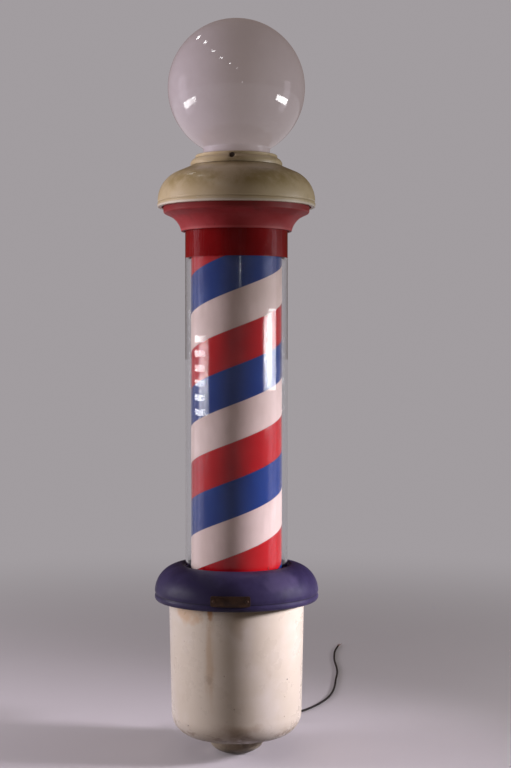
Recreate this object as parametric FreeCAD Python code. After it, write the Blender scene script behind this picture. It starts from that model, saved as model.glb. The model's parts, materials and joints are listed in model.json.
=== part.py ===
"""Barber pole light: a wall-held pole, with a turning striped drum in a glass cylinder and a globe on top.

Every piece is drawn about the pole's own upright axis, with z = 0 at the underside of the bottom boss and
the shop front towards -Y. save() then moves it into the part's frame, whose origin is the centre of the
upper bracket's bolt pattern, on the wall plane. All lengths are millimetres.
"""
import math
import os

import FreeCAD
import Part

# --- driving dimensions ---------------------------------------------------------------------------
WALL_REACH = 150.0          # pole axis to the wall plane
UPPER_BOLTS_Z = 787.0       # centre of the upper bolt pattern, which is the part's origin
LOWER_BOLTS_Z = 165.0       # centre of the lower bolt pattern
BOLT_SPACING_X = 54.0
BOLT_SPACING_Z = 46.0
BOLT_HOLE_R = 3.5
BRACKET_WIDE = 80.0
BRACKET_HIGH = 70.0
BRACKET_THICK = 5.0
ARM_WIDE = 34.0

BOSS_R = 43.0               # shallow dome nut under the bowl
BOWL_FLOOR_Z = 26.5         # underside of the bowl's flat bottom
BOWL_FLOOR_R = 55.0
BOWL_WAIST_Z = 61.0         # where the straight side turns under
BOWL_WAIST_R = 97.2
BOWL_CURVE = 33.0
BOWL_TOP_Z = 256.0          # rim of the bowl, inside the collar
BOWL_TOP_R = 101.4
BOWL_WALL = 2.5
LOWER_SCREW_LEVELS = (LOWER_BOLTS_Z - 14.0, LOWER_BOLTS_Z + 14.0)

COLLAR_CREST = ((84.0, 281.5), (107.0, 273.0), (122.0, 243.0))     # round side, from crest to skirt
COLLAR_WEB = 4.0            # the collar's flat web lies on the bowl's rim
COLLAR_BORE_R = 71.0
POCKET_R = 77.2             # glass pocket in the collar

NAMEPLATE_DEG = -93.5       # direction of the nameplate's middle, a little left of the front
NAMEPLATE_WIDE = 57.0
NAMEPLATE_LOW_Z = 237.2
NAMEPLATE_HIGH_Z = 252.5
RIVET_Z = 244.85
RIVET_R = 1.2

GLASS_R = 76.2              # 6 inch glass cylinder
GLASS_WALL = 3.0
GLASS_BOTTOM_Z = 263.0
GLASS_TOP_Z = 790.0
BAND_BOTTOM_Z = 737.0       # lower edge of the red band inside the glass

HOLDER_BOTTOM_Z = 776.5     # red upper holder
HOLDER_POCKET_R = 78.2
HOLDER_WEB_Z = 797.0        # top of the web inside it
HOLDER_TOP_Z = 818.0
PAD_Z = 798.0               # underside of the cast pad at its back, for the upper bracket's tongue
PAD_TOP_Z = 806.5
BRIDGE_TOP_Z = HOLDER_WEB_Z + 5.0
TONGUE_SCREW_Y = 99.0
TONGUE_SCREWS_X = (-10.0, 10.0)

CAP_RIM_Z = 812.0
CAP_R = 116.8
CAP_HOLE_R = 58.0
CAP_TOP_Z = 876.0

FITTER_FLOOR_Z = 868.0      # inside floor of the globe fitter
FITTER_TOP_Z = 889.0
FITTER_BORE_R = 54.5
GLOBE_R = 101.6             # 8 inch globe
GLOBE_CENTRE_Z = 988.3
GLOBE_NECK_R = 49.5         # 4 inch fitter neck
GLOBE_WALL = 3.0
GLOBE_SCREW_Z = 882.5
FIRST_SCREW_DEG = -95.0     # first of three globe screws, a little left of the front

COLUMN_R = 8.0
COLUMN_BORE_R = 5.5
COLUMN_BOTTOM_Z = 9.0
COLUMN_TOP_Z = 878.0
FIT = 0.05                  # radial clearance of every running fit and screwed fit

DRUM_R = 67.6
DRUM_WALL = 1.4
DRUM_BOTTOM_Z = 277.0
DRUM_TOP_Z = 762.0
SPIDER_RIM = 3.5
BUSH_R = 11.0
RIVET_LEVELS = (DRUM_BOTTOM_Z + 5.0, DRUM_TOP_Z - 11.0)
RIVET_TURNS = (45.0, 135.0, 225.0, 315.0)
LOWER_HUB_Z = 272.0
LOWER_HUB_TOP_Z = 285.0
UPPER_HUB_Z = 744.0
UPPER_HUB_TOP_Z = 760.0
LOWER_COLLAR = (245.0, 256.0)       # the two collars on the column, under and over the drum
UPPER_COLLAR = (764.0, 773.0)

GEAR_MODULE = 1.2
GEAR_TEETH = 72
PINION_TEETH = 18
GEAR_BOTTOM_Z = 260.0
GEAR_TOP_Z = 268.0
PRESSURE_ANGLE = math.radians(20.0)
BACKLASH = 0.12             # taken off each tooth's thickness at the pitch circle
GEAR_R = GEAR_MODULE * GEAR_TEETH / 2
PINION_R = GEAR_MODULE * PINION_TEETH / 2
SHAFT_X = -(GEAR_R + PINION_R)      # motor shaft, to the left of the axis
SHAFT_R = 3.0
GEAR_SCREW_X = 14.6
GEAR_SCREW_R = 1.5

PLATE_Z = 240.0             # underside of the motor plate
PLATE_TOP_Z = 243.0
PLATE_R = 92.0
SPACER_R = 86.0             # circle of the plate's three spacers
MOTOR_R = 28.0
MOTOR_BOTTOM_Z = 206.0
MOTOR_X = SHAFT_X + 5.0
MOTOR_SCREWS_Y = (-34.0, 34.0)

INNER_LAMPS = ((34.0, 330.0), (-34.0, 540.0))       # x and lower z of the two lamps inside the drum
WAYS_X = (-11.5, 0.0, 11.5)     # the three ways of the terminal block
WELL_Y = 38.0

CORD_DEG = 68.0             # direction of the cord's exit, turned from +X towards the back
CORD_EXIT_Z = 60.0
CORD_R = 1.8
RELIEF_NECK_R = 5.0
RELIEF_TIP_R = 122.0        # strain relief's tip, from the pole's axis
WIRE_R = 0.55
WIRE_LENGTH = 26.0

LAY_Z = CORD_R + 0.2        # height of the cord's centre where it lies
# The power cord: a drop from the strain relief, then a loose line on the surface behind the pole.
CORD_ROUTE = [
    (45.70, 113.12, 60.0),
    (50.76, 125.63, 60.0),
    (56.6, 140.0, 53.5),
    (61.8, 152.0, 39.5),
    (66.4, 163.6, 22.5),
    (72.4, 178.0, 8.5),
    (81.0, 196.0, LAY_Z),
    (95.0, 217.0, LAY_Z),
    (115.0, 241.5, LAY_Z),
    (134.0, 274.0, LAY_Z),
    (151.0, 314.0, LAY_Z),
    (162.5, 358.0, LAY_Z),
    (169.5, 407.0, LAY_Z),
    (173.5, 459.0, LAY_Z),
    (180.0, 513.0, LAY_Z),
    (181.0, 568.0, LAY_Z),
    (179.5, 620.0, LAY_Z),
    (182.0, 669.0, LAY_Z),
    (186.0, 714.0, LAY_Z),
    (194.0, 752.0, LAY_Z),
]

UP = FreeCAD.Vector(0, 0, 1)
AXIS = FreeCAD.Vector(0, 0, 0)
TO_FRAME = FreeCAD.Vector(0, -WALL_REACH, -UPPER_BOLTS_Z)


# --- helpers --------------------------------------------------------------------------------------
def section(start, *steps):
    """A closed outline in the XZ plane. A step is a point, or (middle, end) for an arc."""
    edges = []
    first = FreeCAD.Vector(start[0], 0, start[1])
    here = first
    for step in steps:
        if isinstance(step[0], tuple):
            middle = FreeCAD.Vector(step[0][0], 0, step[0][1])
            end = FreeCAD.Vector(step[1][0], 0, step[1][1])
            edges.append(Part.Arc(here, middle, end).toShape())
        else:
            end = FreeCAD.Vector(step[0], 0, step[1])
            edges.append(Part.LineSegment(here, end).toShape())
        here = end
    edges.append(Part.LineSegment(here, first).toShape())
    return Part.Face(Part.Wire(edges))


def turned(start, *steps):
    """A solid of revolution about the pole's axis."""
    return section(start, *steps).revolve(AXIS, UP, 360)


def disc(radius, low, high, x=0.0, y=0.0):
    return Part.makeCylinder(radius, high - low, FreeCAD.Vector(x, y, low))


def ring(outer, inner, low, high, x=0.0, y=0.0):
    return disc(outer, low, high, x, y).cut(disc(inner, low - 1, high + 1, x, y))


def block(xs, ys, zs):
    return Part.makeBox(xs[1] - xs[0], ys[1] - ys[0], zs[1] - zs[0], FreeCAD.Vector(xs[0], ys[0], zs[0]))


def hexagon(across_flats, low, high, x=0.0, y=0.0):
    corner_r = across_flats / math.sqrt(3)
    corners = []
    for k in range(7):
        turn = math.radians(60 * k)
        corners.append(FreeCAD.Vector(x + corner_r * math.cos(turn), y + corner_r * math.sin(turn), low))
    return Part.Face(Part.makePolygon(corners)).extrude(FreeCAD.Vector(0, 0, high - low))


def hex_nut(across_flats, bore_r, low, high, x=0.0, y=0.0):
    return hexagon(across_flats, low, high, x, y).cut(disc(bore_r, low - 1, high + 1, x, y))


def turned_to(shape, degrees):
    """A copy of the shape, turned about the pole's axis."""
    copy = shape.copy()
    copy.rotate(AXIS, UP, degrees)
    return copy


def around(shape, count, first=0.0):
    return [turned_to(shape, first + 360.0 * k / count) for k in range(count)]


def rod_out(radius, inner_r, outer_r, z, degrees=0.0):
    """A round rod that points away from the pole's axis."""
    start = FreeCAD.Vector(inner_r, 0, z)
    rod = Part.makeCylinder(radius, outer_r - inner_r, start, FreeCAD.Vector(1, 0, 0))
    return turned_to(rod, degrees)


def rod_back(radius, low_y, high_y, x, z):
    """A round rod along Y."""
    return Part.makeCylinder(radius, high_y - low_y, FreeCAD.Vector(x, low_y, z), FreeCAD.Vector(0, 1, 0))


def cut_all(shape, tools):
    for tool in tools:
        shape = shape.cut(tool)
    return shape


def fused(*shapes):
    return shapes[0].multiFuse(list(shapes[1:])).removeSplitter()


def save(node, *solids):
    """Writes one node, moved into the part's frame."""
    pieces = []
    for solid in solids:
        piece = solid.copy()
        piece.translate(TO_FRAME)
        pieces.append(piece)
    shape = pieces[0] if len(pieces) == 1 else Part.makeCompound(pieces)
    if not shape.isValid() or shape.Volume <= 0:
        print("NOT VALID:", node)
    shape.exportStep("parts/%s.step" % node)


def tube(points, radius, report=None):
    """A round tube along straight runs, joined by the largest tangent arcs that the runs allow."""
    route = [FreeCAD.Vector(*point) for point in points]
    edges = []
    radii = []
    here = route[0]
    for before, point, after in zip(route, route[1:], route[2:]):
        into = point - before
        out = after - point
        half_turn = into.getAngle(out) / 2
        reach = 0.45 * min(into.Length, out.Length)
        arc_r = reach / math.tan(half_turn)
        radii.append(arc_r)
        into.normalize()
        out.normalize()
        start = point - into * reach
        end = point + out * reach
        to_centre = (out - into).normalize()
        centre = point + to_centre * (arc_r / math.cos(half_turn))
        edges.append(Part.LineSegment(here, start).toShape())
        edges.append(Part.Arc(start, centre - to_centre * arc_r, end).toShape())
        here = end
    edges.append(Part.LineSegment(here, route[-1]).toShape())
    path = Part.Wire(edges)
    rim = Part.Wire(Part.makeCircle(radius, route[0], route[1] - route[0]))
    solid = path.makePipeShell([rim], True, False)
    if report:
        print(report, "length %.1f, tightest radius %.1f" % (path.Length, min(radii)))
        print(report, "radii", [round(r) for r in radii])
        expected = math.pi * radius**2 * path.Length
        print(report, "volume %.0f, section by length %.0f" % (solid.Volume, expected))
    return solid


def involute(angle):
    return math.tan(angle) - angle


def gear_face(teeth, first_tooth, z, x=0.0):
    """Outline of a spur gear with involute flanks. first_tooth is the direction of one tooth's middle."""
    pitch_r = GEAR_MODULE * teeth / 2
    base_r = pitch_r * math.cos(PRESSURE_ANGLE)
    root_r = pitch_r - 1.25 * GEAR_MODULE
    tip_r = pitch_r + GEAR_MODULE
    half_pitch = (math.pi * GEAR_MODULE / 2 - BACKLASH) / 2 / pitch_r
    low_r = max(base_r, root_r)
    flank = []
    for k in range(4):
        at_r = low_r + (tip_r - low_r) * k / 3
        roll = math.acos(min(1.0, base_r / at_r))
        flank.append((at_r, half_pitch + involute(PRESSURE_ANGLE) - involute(roll)))
    if root_r < base_r:
        flank.insert(0, (root_r, flank[0][1]))
    corners = []
    for tooth in range(teeth):
        middle = first_tooth + 2 * math.pi * tooth / teeth
        for at_r, half in flank:
            corners.append((at_r, middle - half))
        for at_r, half in reversed(flank):
            corners.append((at_r, middle + half))
    points = [FreeCAD.Vector(x + r * math.cos(a), r * math.sin(a), z) for r, a in corners]
    return Part.Face(Part.makePolygon(points + [points[0]]))


def dome(r, low, top):
    """Arc from (r, low) to the axis at top, with its centre on the axis, as a step of an outline."""
    centre = (top**2 - low**2 - r**2) / (2 * (top - low))
    curve = top - centre
    lift = (math.atan2(low - centre, r) + math.pi / 2) / 2
    return (curve * math.cos(lift), centre + curve * math.sin(lift)), (0, top)


def bolt_places(centre_z):
    """The four wall-bolt holes of a bracket, as (x, z)."""
    places = []
    for side in (-1, 1):
        for level in (-1, 1):
            places.append((side * BOLT_SPACING_X / 2, centre_z + level * BOLT_SPACING_Z / 2))
    return places


# --- bowl, boss and centre column -----------------------------------------------------------------
def bowl_side(grow):
    """The bowl's turned-under side, moved out by grow, as steps of an outline."""
    def at(degrees):
        turn = math.radians(degrees)
        return (BOWL_WAIST_R - BOWL_CURVE + (BOWL_CURVE + grow) * math.cos(turn),
                BOWL_WAIST_Z - (BOWL_CURVE + grow) * math.sin(turn))
    return [at(0), (at(40), at(80)), (BOWL_FLOOR_R, BOWL_FLOOR_Z - grow)]


def bowl_radius(z):
    """Outside radius of the bowl's tapered side."""
    share = (z - BOWL_WAIST_Z) / (BOWL_TOP_Z - BOWL_WAIST_Z)
    return BOWL_WAIST_R + share * (BOWL_TOP_R - BOWL_WAIST_R)


def bowl():
    outside = turned((0, BOWL_TOP_Z), (BOWL_TOP_R, BOWL_TOP_Z), *bowl_side(0), (0, BOWL_FLOOR_Z))
    top = BOWL_TOP_Z + 1
    inside = turned((0, top), (BOWL_TOP_R - BOWL_WALL, top), *bowl_side(-BOWL_WALL),
                    (0, BOWL_FLOOR_Z + BOWL_WALL))
    holes = [disc(COLUMN_R + 0.3, 0, 60), rod_out(RELIEF_NECK_R + 0.1, 70, 120, CORD_EXIT_Z, CORD_DEG)]
    holes += [rod_back(3.2, 60, 120, 0, z) for z in LOWER_SCREW_LEVELS]
    return cut_all(outside.cut(inside), holes)


def bottom_boss():
    dome = turned((0, BOWL_FLOOR_Z), (BOSS_R, BOWL_FLOOR_Z), (BOSS_R, 20.0), ((31.6, 5.5), (14.0, 0.0)),
                  (0, 0))
    return dome.cut(disc(COLUMN_R + FIT, COLUMN_BOTTOM_Z, 60))


def column():
    """Fixed steel tube that ties the pole together and carries the lamp wiring."""
    tie = ring(COLUMN_R, COLUMN_BORE_R, COLUMN_BOTTOM_Z, COLUMN_TOP_Z)
    return tie.cut(block((-3.2, 3.2), (2, 12), (54, 72)))


def column_nuts():
    """Above the bowl's floor, on the holder's bridge, and below and above the globe fitter's floor."""
    floor = BOWL_FLOOR_Z + BOWL_WALL + 2.5
    levels = (floor, BRIDGE_TOP_Z, FITTER_FLOOR_Z - 11.5)
    return [hex_nut(24.0, COLUMN_R + FIT, z, z + 8.0) for z in levels]


# --- collar, nameplate and glass ------------------------------------------------------------------
def collar():
    """Cast ring with a rolled crest, a glass pocket on its inside and a beaded skirt over the bowl."""
    web_top = BOWL_TOP_Z + COLLAR_WEB
    body = turned(
        (POCKET_R, 277.5), ((79.6, 280.8), COLLAR_CREST[0]), COLLAR_CREST[1:], (120.9, 239.4),
        (120.9, 238.4), ((122.1, 234.6), (119.4, 229.5)), (116.6, 229.5), (118.4, 242.5),
        ((104.2, 269.6), (86.0, 277.6)), (81.2, 276.2), (81.2, web_top), (104.0, web_top),
        (104.0, BOWL_TOP_Z), (98.2, BOWL_TOP_Z), (98.2, BOWL_TOP_Z - 6), (95.2, BOWL_TOP_Z - 6),
        (95.2, BOWL_TOP_Z), (COLLAR_BORE_R, BOWL_TOP_Z), (COLLAR_BORE_R, web_top), (POCKET_R, web_top))
    return cut_all(body, nameplate_pins(RIVET_R + 0.1, -5.0, 2.0))


def circle_through(first, middle, last):
    """Centre and radius of the circle through three points of an outline."""
    circle = Part.Arc(*[FreeCAD.Vector(r, 0, z) for r, z in (first, middle, last)]).toShape().Curve
    return circle.Center.x, circle.Center.z, circle.Radius


CREST_R, CREST_Z, CREST_CURVE = circle_through(*COLLAR_CREST)


def crest_angle(stand_off, z):
    return math.asin((z - CREST_Z) / (CREST_CURVE + stand_off))


def on_crest(stand_off, z):
    """The point of height z that stands off the collar's round side by the given distance."""
    curve = CREST_CURVE + stand_off
    return CREST_R + curve * math.cos(crest_angle(stand_off, z)), z


def nameplate():
    """Thin curved plate, blank, bent to the collar's skirt."""
    low = NAMEPLATE_LOW_Z - 0.5
    high = NAMEPLATE_HIGH_Z + 0.5
    skin = turned(on_crest(0.1, low), (on_crest(0.1, RIVET_Z), on_crest(0.1, high)), on_crest(1.3, high),
                  (on_crest(1.3, RIVET_Z), on_crest(1.3, low)))
    half_wide = NAMEPLATE_WIDE / 2
    outline = block((100, 130), (-half_wide, half_wide), (NAMEPLATE_LOW_Z, NAMEPLATE_HIGH_Z))
    upright = [edge for edge in outline.Edges if abs(edge.tangentAt(edge.FirstParameter).x) > 0.9]
    plate = turned_to(skin.common(outline.makeFillet(3.0, upright)), NAMEPLATE_DEG)
    return cut_all(plate, nameplate_pins(RIVET_R + 0.1, -5.0, 5.0))


def on_plate(shape):
    """Two copies of a shape drawn along +X, set square to the collar near the nameplate's ends."""
    seat_r, seat_z = on_crest(0.0, RIVET_Z)
    shape.rotate(AXIS, FreeCAD.Vector(0, 1, 0), -math.degrees(crest_angle(0.0, RIVET_Z)))
    shape.translate(FreeCAD.Vector(seat_r, 0, seat_z))
    return [turned_to(shape, NAMEPLATE_DEG + side * 11.2) for side in (-1, 1)]


def nameplate_pins(radius, low, high):
    start = FreeCAD.Vector(low, 0, 0)
    return on_plate(Part.makeCylinder(radius, high - low, start, FreeCAD.Vector(1, 0, 0)))


def nameplate_rivets():
    head = Part.makeSphere(2.6, FreeCAD.Vector(0.9, 0, 0)).common(block((1.45, 6), (-4, 4), (-4, 4)))
    shank = Part.makeCylinder(RIVET_R, 3.6, FreeCAD.Vector(-2.0, 0, 0), FreeCAD.Vector(1, 0, 0))
    return on_plate(fused(head, shank))


def lower_gasket():
    return ring(POCKET_R - 0.1, GLASS_R - GLASS_WALL - 0.6, BOWL_TOP_Z + COLLAR_WEB, GLASS_BOTTOM_Z)


def glass_cylinder():
    return ring(GLASS_R, GLASS_R - GLASS_WALL, GLASS_BOTTOM_Z, GLASS_TOP_Z)


def upper_gasket():
    """Rubber hood over the glass cylinder's upper end."""
    web = HOLDER_WEB_Z - 4.0
    return turned((GLASS_R + 0.1, HOLDER_BOTTOM_Z + 1.5), (HOLDER_POCKET_R - 0.1, HOLDER_BOTTOM_Z + 1.5),
                  (HOLDER_POCKET_R - 0.1, web), (72.6, web), (72.6, GLASS_TOP_Z),
                  (GLASS_R + 0.1, GLASS_TOP_Z))


def red_band():
    inner_face = GLASS_R - GLASS_WALL
    return ring(inner_face - 0.15, inner_face - 1.1, BAND_BOTTOM_Z, GLASS_TOP_Z - 1.0)


# --- upper holder, cap and globe fitter -----------------------------------------------------------
def flare(grow):
    """The holder's hollow-curved outside, from its lower edge up to its flange."""
    return [(82.0 + grow, HOLDER_BOTTOM_Z), ((86.0 + grow, 787.0), (96.2 + grow, 797.8))]


def upper_holder():
    """Flared ring with a web that lies on the glass, an upright wall under the cap and a pad at the back."""
    shell = turned(
        (HOLDER_POCKET_R, HOLDER_BOTTOM_Z), *flare(0), (105.0, 802.0), ((107.4, 803.5), (108.4, 806.0)),
        (108.4, HOLDER_TOP_Z), (105.4, HOLDER_TOP_Z), (105.4, 808.5), ((104.6, 806.6), (103.0, 805.8)),
        (94.0, 802.0), (88.5, HOLDER_WEB_Z), (60.0, HOLDER_WEB_Z), (60.0, HOLDER_WEB_Z - 4),
        (HOLDER_POCKET_R, HOLDER_WEB_Z - 4))
    pad = block((-18.0, 18.0), (92.5, 104.5), (PAD_Z, PAD_TOP_Z))
    return cut_all(fused(shell, pad), [disc(2.2, 790, 810, x, TONGUE_SCREW_Y) for x in TONGUE_SCREWS_X])


def holder_bridge():
    """Three-armed spider that the column nut presses down on the holder's web."""
    arm = block((5.0, 85.0), (-9.0, 9.0), (HOLDER_WEB_Z, BRIDGE_TOP_Z))
    hub = disc(20.0, HOLDER_WEB_Z, BRIDGE_TOP_Z)
    return fused(hub, *around(arm, 3, 30.0)).cut(disc(COLUMN_R + FIT, 780, 820))


def cap():
    """Spun dome with a rolled rim, a fine groove above it and a round hole for the globe fitter."""
    return turned(
        (CAP_HOLE_R, CAP_TOP_Z), (68.0, 872.6), (91.5, 862.4), ((107.4, 849.2), (CAP_R, 821.0)),
        (115.9, 820.0), (115.9, 819.2), (CAP_R + 0.4, 817.6), (CAP_R + 0.4, 813.4),
        ((CAP_R + 0.1, 812.4), (CAP_R - 0.8, CAP_RIM_Z)), (111.2, CAP_RIM_Z), (111.2, 814.2), (113.6, 814.6),
        (113.9, 821.4), ((104.8, 847.4), (90.4, 859.8)), (67.0, 870.2), (CAP_HOLE_R, 873.2))


def cap_seat():
    """Ring inside the cap that rests on the holder's upper edge."""
    return ring(113.4, 104.0, HOLDER_TOP_Z, HOLDER_TOP_Z + 2.5)


def globe_fitter():
    """Cast gallery that holds the globe's neck: a floor, a barrel through the cap and a shouldered ring."""
    shell = turned(
        (COLUMN_R + FIT, FITTER_FLOOR_Z - 3), (CAP_HOLE_R - 0.4, FITTER_FLOOR_Z - 3),
        (CAP_HOLE_R - 0.4, 876.4), (67.8, 873.0), (68.2, 876.5), ((65.6, 881.4), (62.0, 883.6)),
        ((61.0, 885.0), (60.8, 887.6)),
        ((60.0, 888.7), (58.6, FITTER_TOP_Z)), (56.2, FITTER_TOP_Z), ((54.9, 888.4), (FITTER_BORE_R, 887.2)),
        (FITTER_BORE_R, FITTER_FLOOR_Z), (COLUMN_R + FIT, FITTER_FLOOR_Z))
    hole = rod_out(2.6, 50.0, 72.0, GLOBE_SCREW_Z)
    recess = rod_out(4.2, 59.6, 72.0, GLOBE_SCREW_Z)
    return cut_all(shell, around(fused(hole, recess), 3, FIRST_SCREW_DEG))


def globe_screws():
    """Slotted screws that reach in over the bead of the globe's neck."""
    shank = rod_out(2.5, GLOBE_NECK_R + 0.4, 60.0, GLOBE_SCREW_Z)
    head = rod_out(3.8, 59.8, 61.6, GLOBE_SCREW_Z)
    slot = block((60.8, 63), (-5, 5), (GLOBE_SCREW_Z - 0.5, GLOBE_SCREW_Z + 0.5))
    return around(fused(shank, head).cut(slot), 3, FIRST_SCREW_DEG)


def globe_gasket():
    return ring(53.8, 45.5, FITTER_FLOOR_Z, FITTER_FLOOR_Z + 2.5)


def globe():
    """Milk-glass ball with an open neck and a beaded lip."""
    lip_z = FITTER_FLOOR_Z + 2.5
    inner_r = GLOBE_R - GLOBE_WALL
    bore_r = GLOBE_NECK_R - GLOBE_WALL
    mouth_z = GLOBE_CENTRE_Z - math.sqrt(GLOBE_R**2 - (GLOBE_NECK_R + 2)**2)
    inner_mouth_z = GLOBE_CENTRE_Z - math.sqrt(inner_r**2 - bore_r**2)
    top_z = GLOBE_CENTRE_Z + GLOBE_R
    return turned(
        (bore_r, lip_z), (51.6, lip_z), ((52.4, lip_z + 2), (51.0, lip_z + 4)), (GLOBE_NECK_R, lip_z + 6.5),
        (GLOBE_NECK_R, mouth_z - 3.0), ((GLOBE_NECK_R + 0.5, mouth_z - 1.3), (GLOBE_NECK_R + 2, mouth_z)),
        ((GLOBE_R, GLOBE_CENTRE_Z), (0, top_z)), (0, top_z - GLOBE_WALL),
        ((inner_r, GLOBE_CENTRE_Z), (bore_r, inner_mouth_z)))


# --- lamps and lampholders ------------------------------------------------------------------------
def globe_lampholder():
    """Porcelain screw lampholder on the column's upper end."""
    base = COLUMN_TOP_Z
    return turned((0, base), (17.0, base), (24.0, base + 3), (24.0, base + 8), (20.5, base + 12),
                  (20.5, base + 36), (17.5, base + 39), (13.6, base + 39), (13.6, base + 12), (0, base + 12))


def holder_nut():
    """Bell-shaped lock nut under the lampholder."""
    return ring(15.0, COLUMN_R + FIT, FITTER_FLOOR_Z, COLUMN_TOP_Z)


def lamp_base(radius, low, high):
    """Screw base of a lamp, drawn solid."""
    return turned((0, low), (4.0, low), (radius - 1.2, low + 4), (radius, low + 6), (radius, high),
                  (0, high))


def globe_lamp():
    """Pear-shaped bulb, a thin glass shell that opens into its base."""
    def pear(grow, mouth_z):
        return turned((0, mouth_z), (13.0 + grow, mouth_z), (13.6 + grow, 922.0),
                      ((22.0 + grow, 938.0), (30.0 + grow, 962.0)), dome(30.0 + grow, 962.0, 992.0 + grow))
    return pear(0, 917.0).cut(pear(-0.8, 916.0))


def inner_lampholders():
    """Clamps on the column, each with an arm and an upright cup for a tubular lamp."""
    holders = []
    for x, z in INNER_LAMPS:
        side = math.copysign(1.0, x)
        clamp = disc(14.0, z, z + 18)
        arm = block(sorted((0.0, x)), (-6.0, 6.0), (z + 2, z + 8))
        cup = disc(11.0, z + 2, z + 34, x)
        socket = disc(7.2, z + 10, z + 40, x)
        pinch_start = FreeCAD.Vector(-side * 9.0, 0, z + 9)
        pinch = Part.makeCylinder(2.0, 12.0, pinch_start, FreeCAD.Vector(-side, 0, 0))
        holder = fused(clamp, arm, cup, pinch)
        holders.append(cut_all(holder, [socket, disc(COLUMN_R + FIT, z - 1, z + 40)]))
    return holders


def inner_lamp_bases():
    bases = []
    for x, z in INNER_LAMPS:
        base = lamp_base(6.9, z + 11, z + 36)
        base.translate(FreeCAD.Vector(x, 0, 0))
        bases.append(base)
    return bases


def inner_lamps():
    """Tubular bulbs, thin glass shells that open into their bases."""
    lamps = []
    for x, z in INNER_LAMPS:
        outside = turned((0, z + 36), (7.2, z + 36), (7.2, z + 42), ((9.4, z + 46), (12.5, z + 50)),
                         (12.5, z + 140), dome(12.5, z + 140, z + 152))
        inside = turned((0, z + 35), (6.4, z + 35), (6.4, z + 42.4), ((8.7, z + 46.7), (11.7, z + 51)),
                        (11.7, z + 140), dome(11.7, z + 140, z + 151.2))
        lamp = outside.cut(inside)
        lamp.translate(FreeCAD.Vector(x, 0, 0))
        lamps.append(lamp)
    return lamps


# --- drum -----------------------------------------------------------------------------------------
def drum_shell():
    shell = ring(DRUM_R, DRUM_R - DRUM_WALL, DRUM_BOTTOM_Z, DRUM_TOP_Z)
    holes = [rod_out(1.3, 60.0, 75.0, z, turn) for z in RIVET_LEVELS for turn in RIVET_TURNS]
    return cut_all(shell, holes)


def spider(rim_low, rim_high, hub_low, hub_high, rivet_z):
    """Wheel that carries one end of the drum: a rim inside the shell, four arms and a hub for a bush."""
    rim_r = DRUM_R - DRUM_WALL - FIT
    rim = ring(rim_r, rim_r - SPIDER_RIM, rim_low, rim_high)
    arm = block((BUSH_R + 1, rim_r - 1), (-5.0, 5.0), (rim_low, rim_low + 4))
    hub = disc(BUSH_R + 7, hub_low, hub_high)
    wheel = fused(rim, hub, *around(arm, 4, 45.0))
    holes = [rod_out(1.3, 50.0, 75.0, rivet_z, turn) for turn in RIVET_TURNS]
    holes += around(disc(GEAR_SCREW_R + 0.1, hub_low - 1, hub_high + 1, GEAR_SCREW_X), 4)
    return cut_all(wheel, holes + [disc(BUSH_R + FIT, hub_low - 1, hub_high + 1)])


def drum_rivets():
    rivets = []
    for z in RIVET_LEVELS:
        head = rod_out(2.4, DRUM_R + 0.02, DRUM_R + 0.9, z)
        shank = rod_out(1.2, 61.0, DRUM_R + 0.5, z)
        for turn in RIVET_TURNS:
            rivets.append(turned_to(fused(head, shank), turn))
    return rivets


def drum_gear():
    """Moulded gear on the lower spider, with a rim, a thin web and a hub."""
    teeth = gear_face(GEAR_TEETH, math.pi, GEAR_BOTTOM_Z)
    wheel = teeth.extrude(FreeCAD.Vector(0, 0, GEAR_TOP_Z - GEAR_BOTTOM_Z))
    hub = disc(BUSH_R + 7, GEAR_TOP_Z, LOWER_HUB_Z)
    hollows = [ring(GEAR_R - 6, BUSH_R + 9, GEAR_BOTTOM_Z - 1, GEAR_BOTTOM_Z + 2.5),
               ring(GEAR_R - 6, BUSH_R + 9, GEAR_TOP_Z - 2.5, GEAR_TOP_Z + 1)]
    hollows += around(disc(6.0, GEAR_BOTTOM_Z - 1, GEAR_TOP_Z + 1, 28.5), 6)
    holes = around(disc(GEAR_SCREW_R + 0.1, GEAR_BOTTOM_Z - 1, LOWER_HUB_Z + 1, GEAR_SCREW_X), 4)
    holes.append(disc(BUSH_R + FIT, GEAR_BOTTOM_Z - 1, LOWER_HUB_Z + 1))
    return cut_all(fused(wheel, hub), hollows + holes)


def gear_screws():
    """Long screws through the gear's hub into the lower spider."""
    shank = disc(GEAR_SCREW_R, GEAR_BOTTOM_Z, LOWER_HUB_TOP_Z, GEAR_SCREW_X)
    head = disc(2.8, LOWER_HUB_TOP_Z, LOWER_HUB_TOP_Z + 2, GEAR_SCREW_X)
    return around(fused(shank, head), 4)


def bush(low, high):
    return ring(BUSH_R, COLUMN_R + FIT, low, high)


def column_collars():
    """Lower collar that carries the drum, and an upper one that keeps it from rising."""
    collars = []
    for low, high in (LOWER_COLLAR, UPPER_COLLAR):
        grub = rod_out(2.0, 4.0, 16.0, (low + high) / 2, 90.0)
        collars.append(ring(15.0, COLUMN_R + FIT, low, high).cut(grub))
    return collars


def collar_grub_screws():
    screws = []
    for low, high in (LOWER_COLLAR, UPPER_COLLAR):
        screws.append(rod_out(1.95, COLUMN_R + FIT, 12.6, (low + high) / 2, 90.0))
    return screws


def thrust_washer():
    return ring(14.0, COLUMN_R + 0.3, LOWER_COLLAR[1], LOWER_COLLAR[1] + 1.8)


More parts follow.
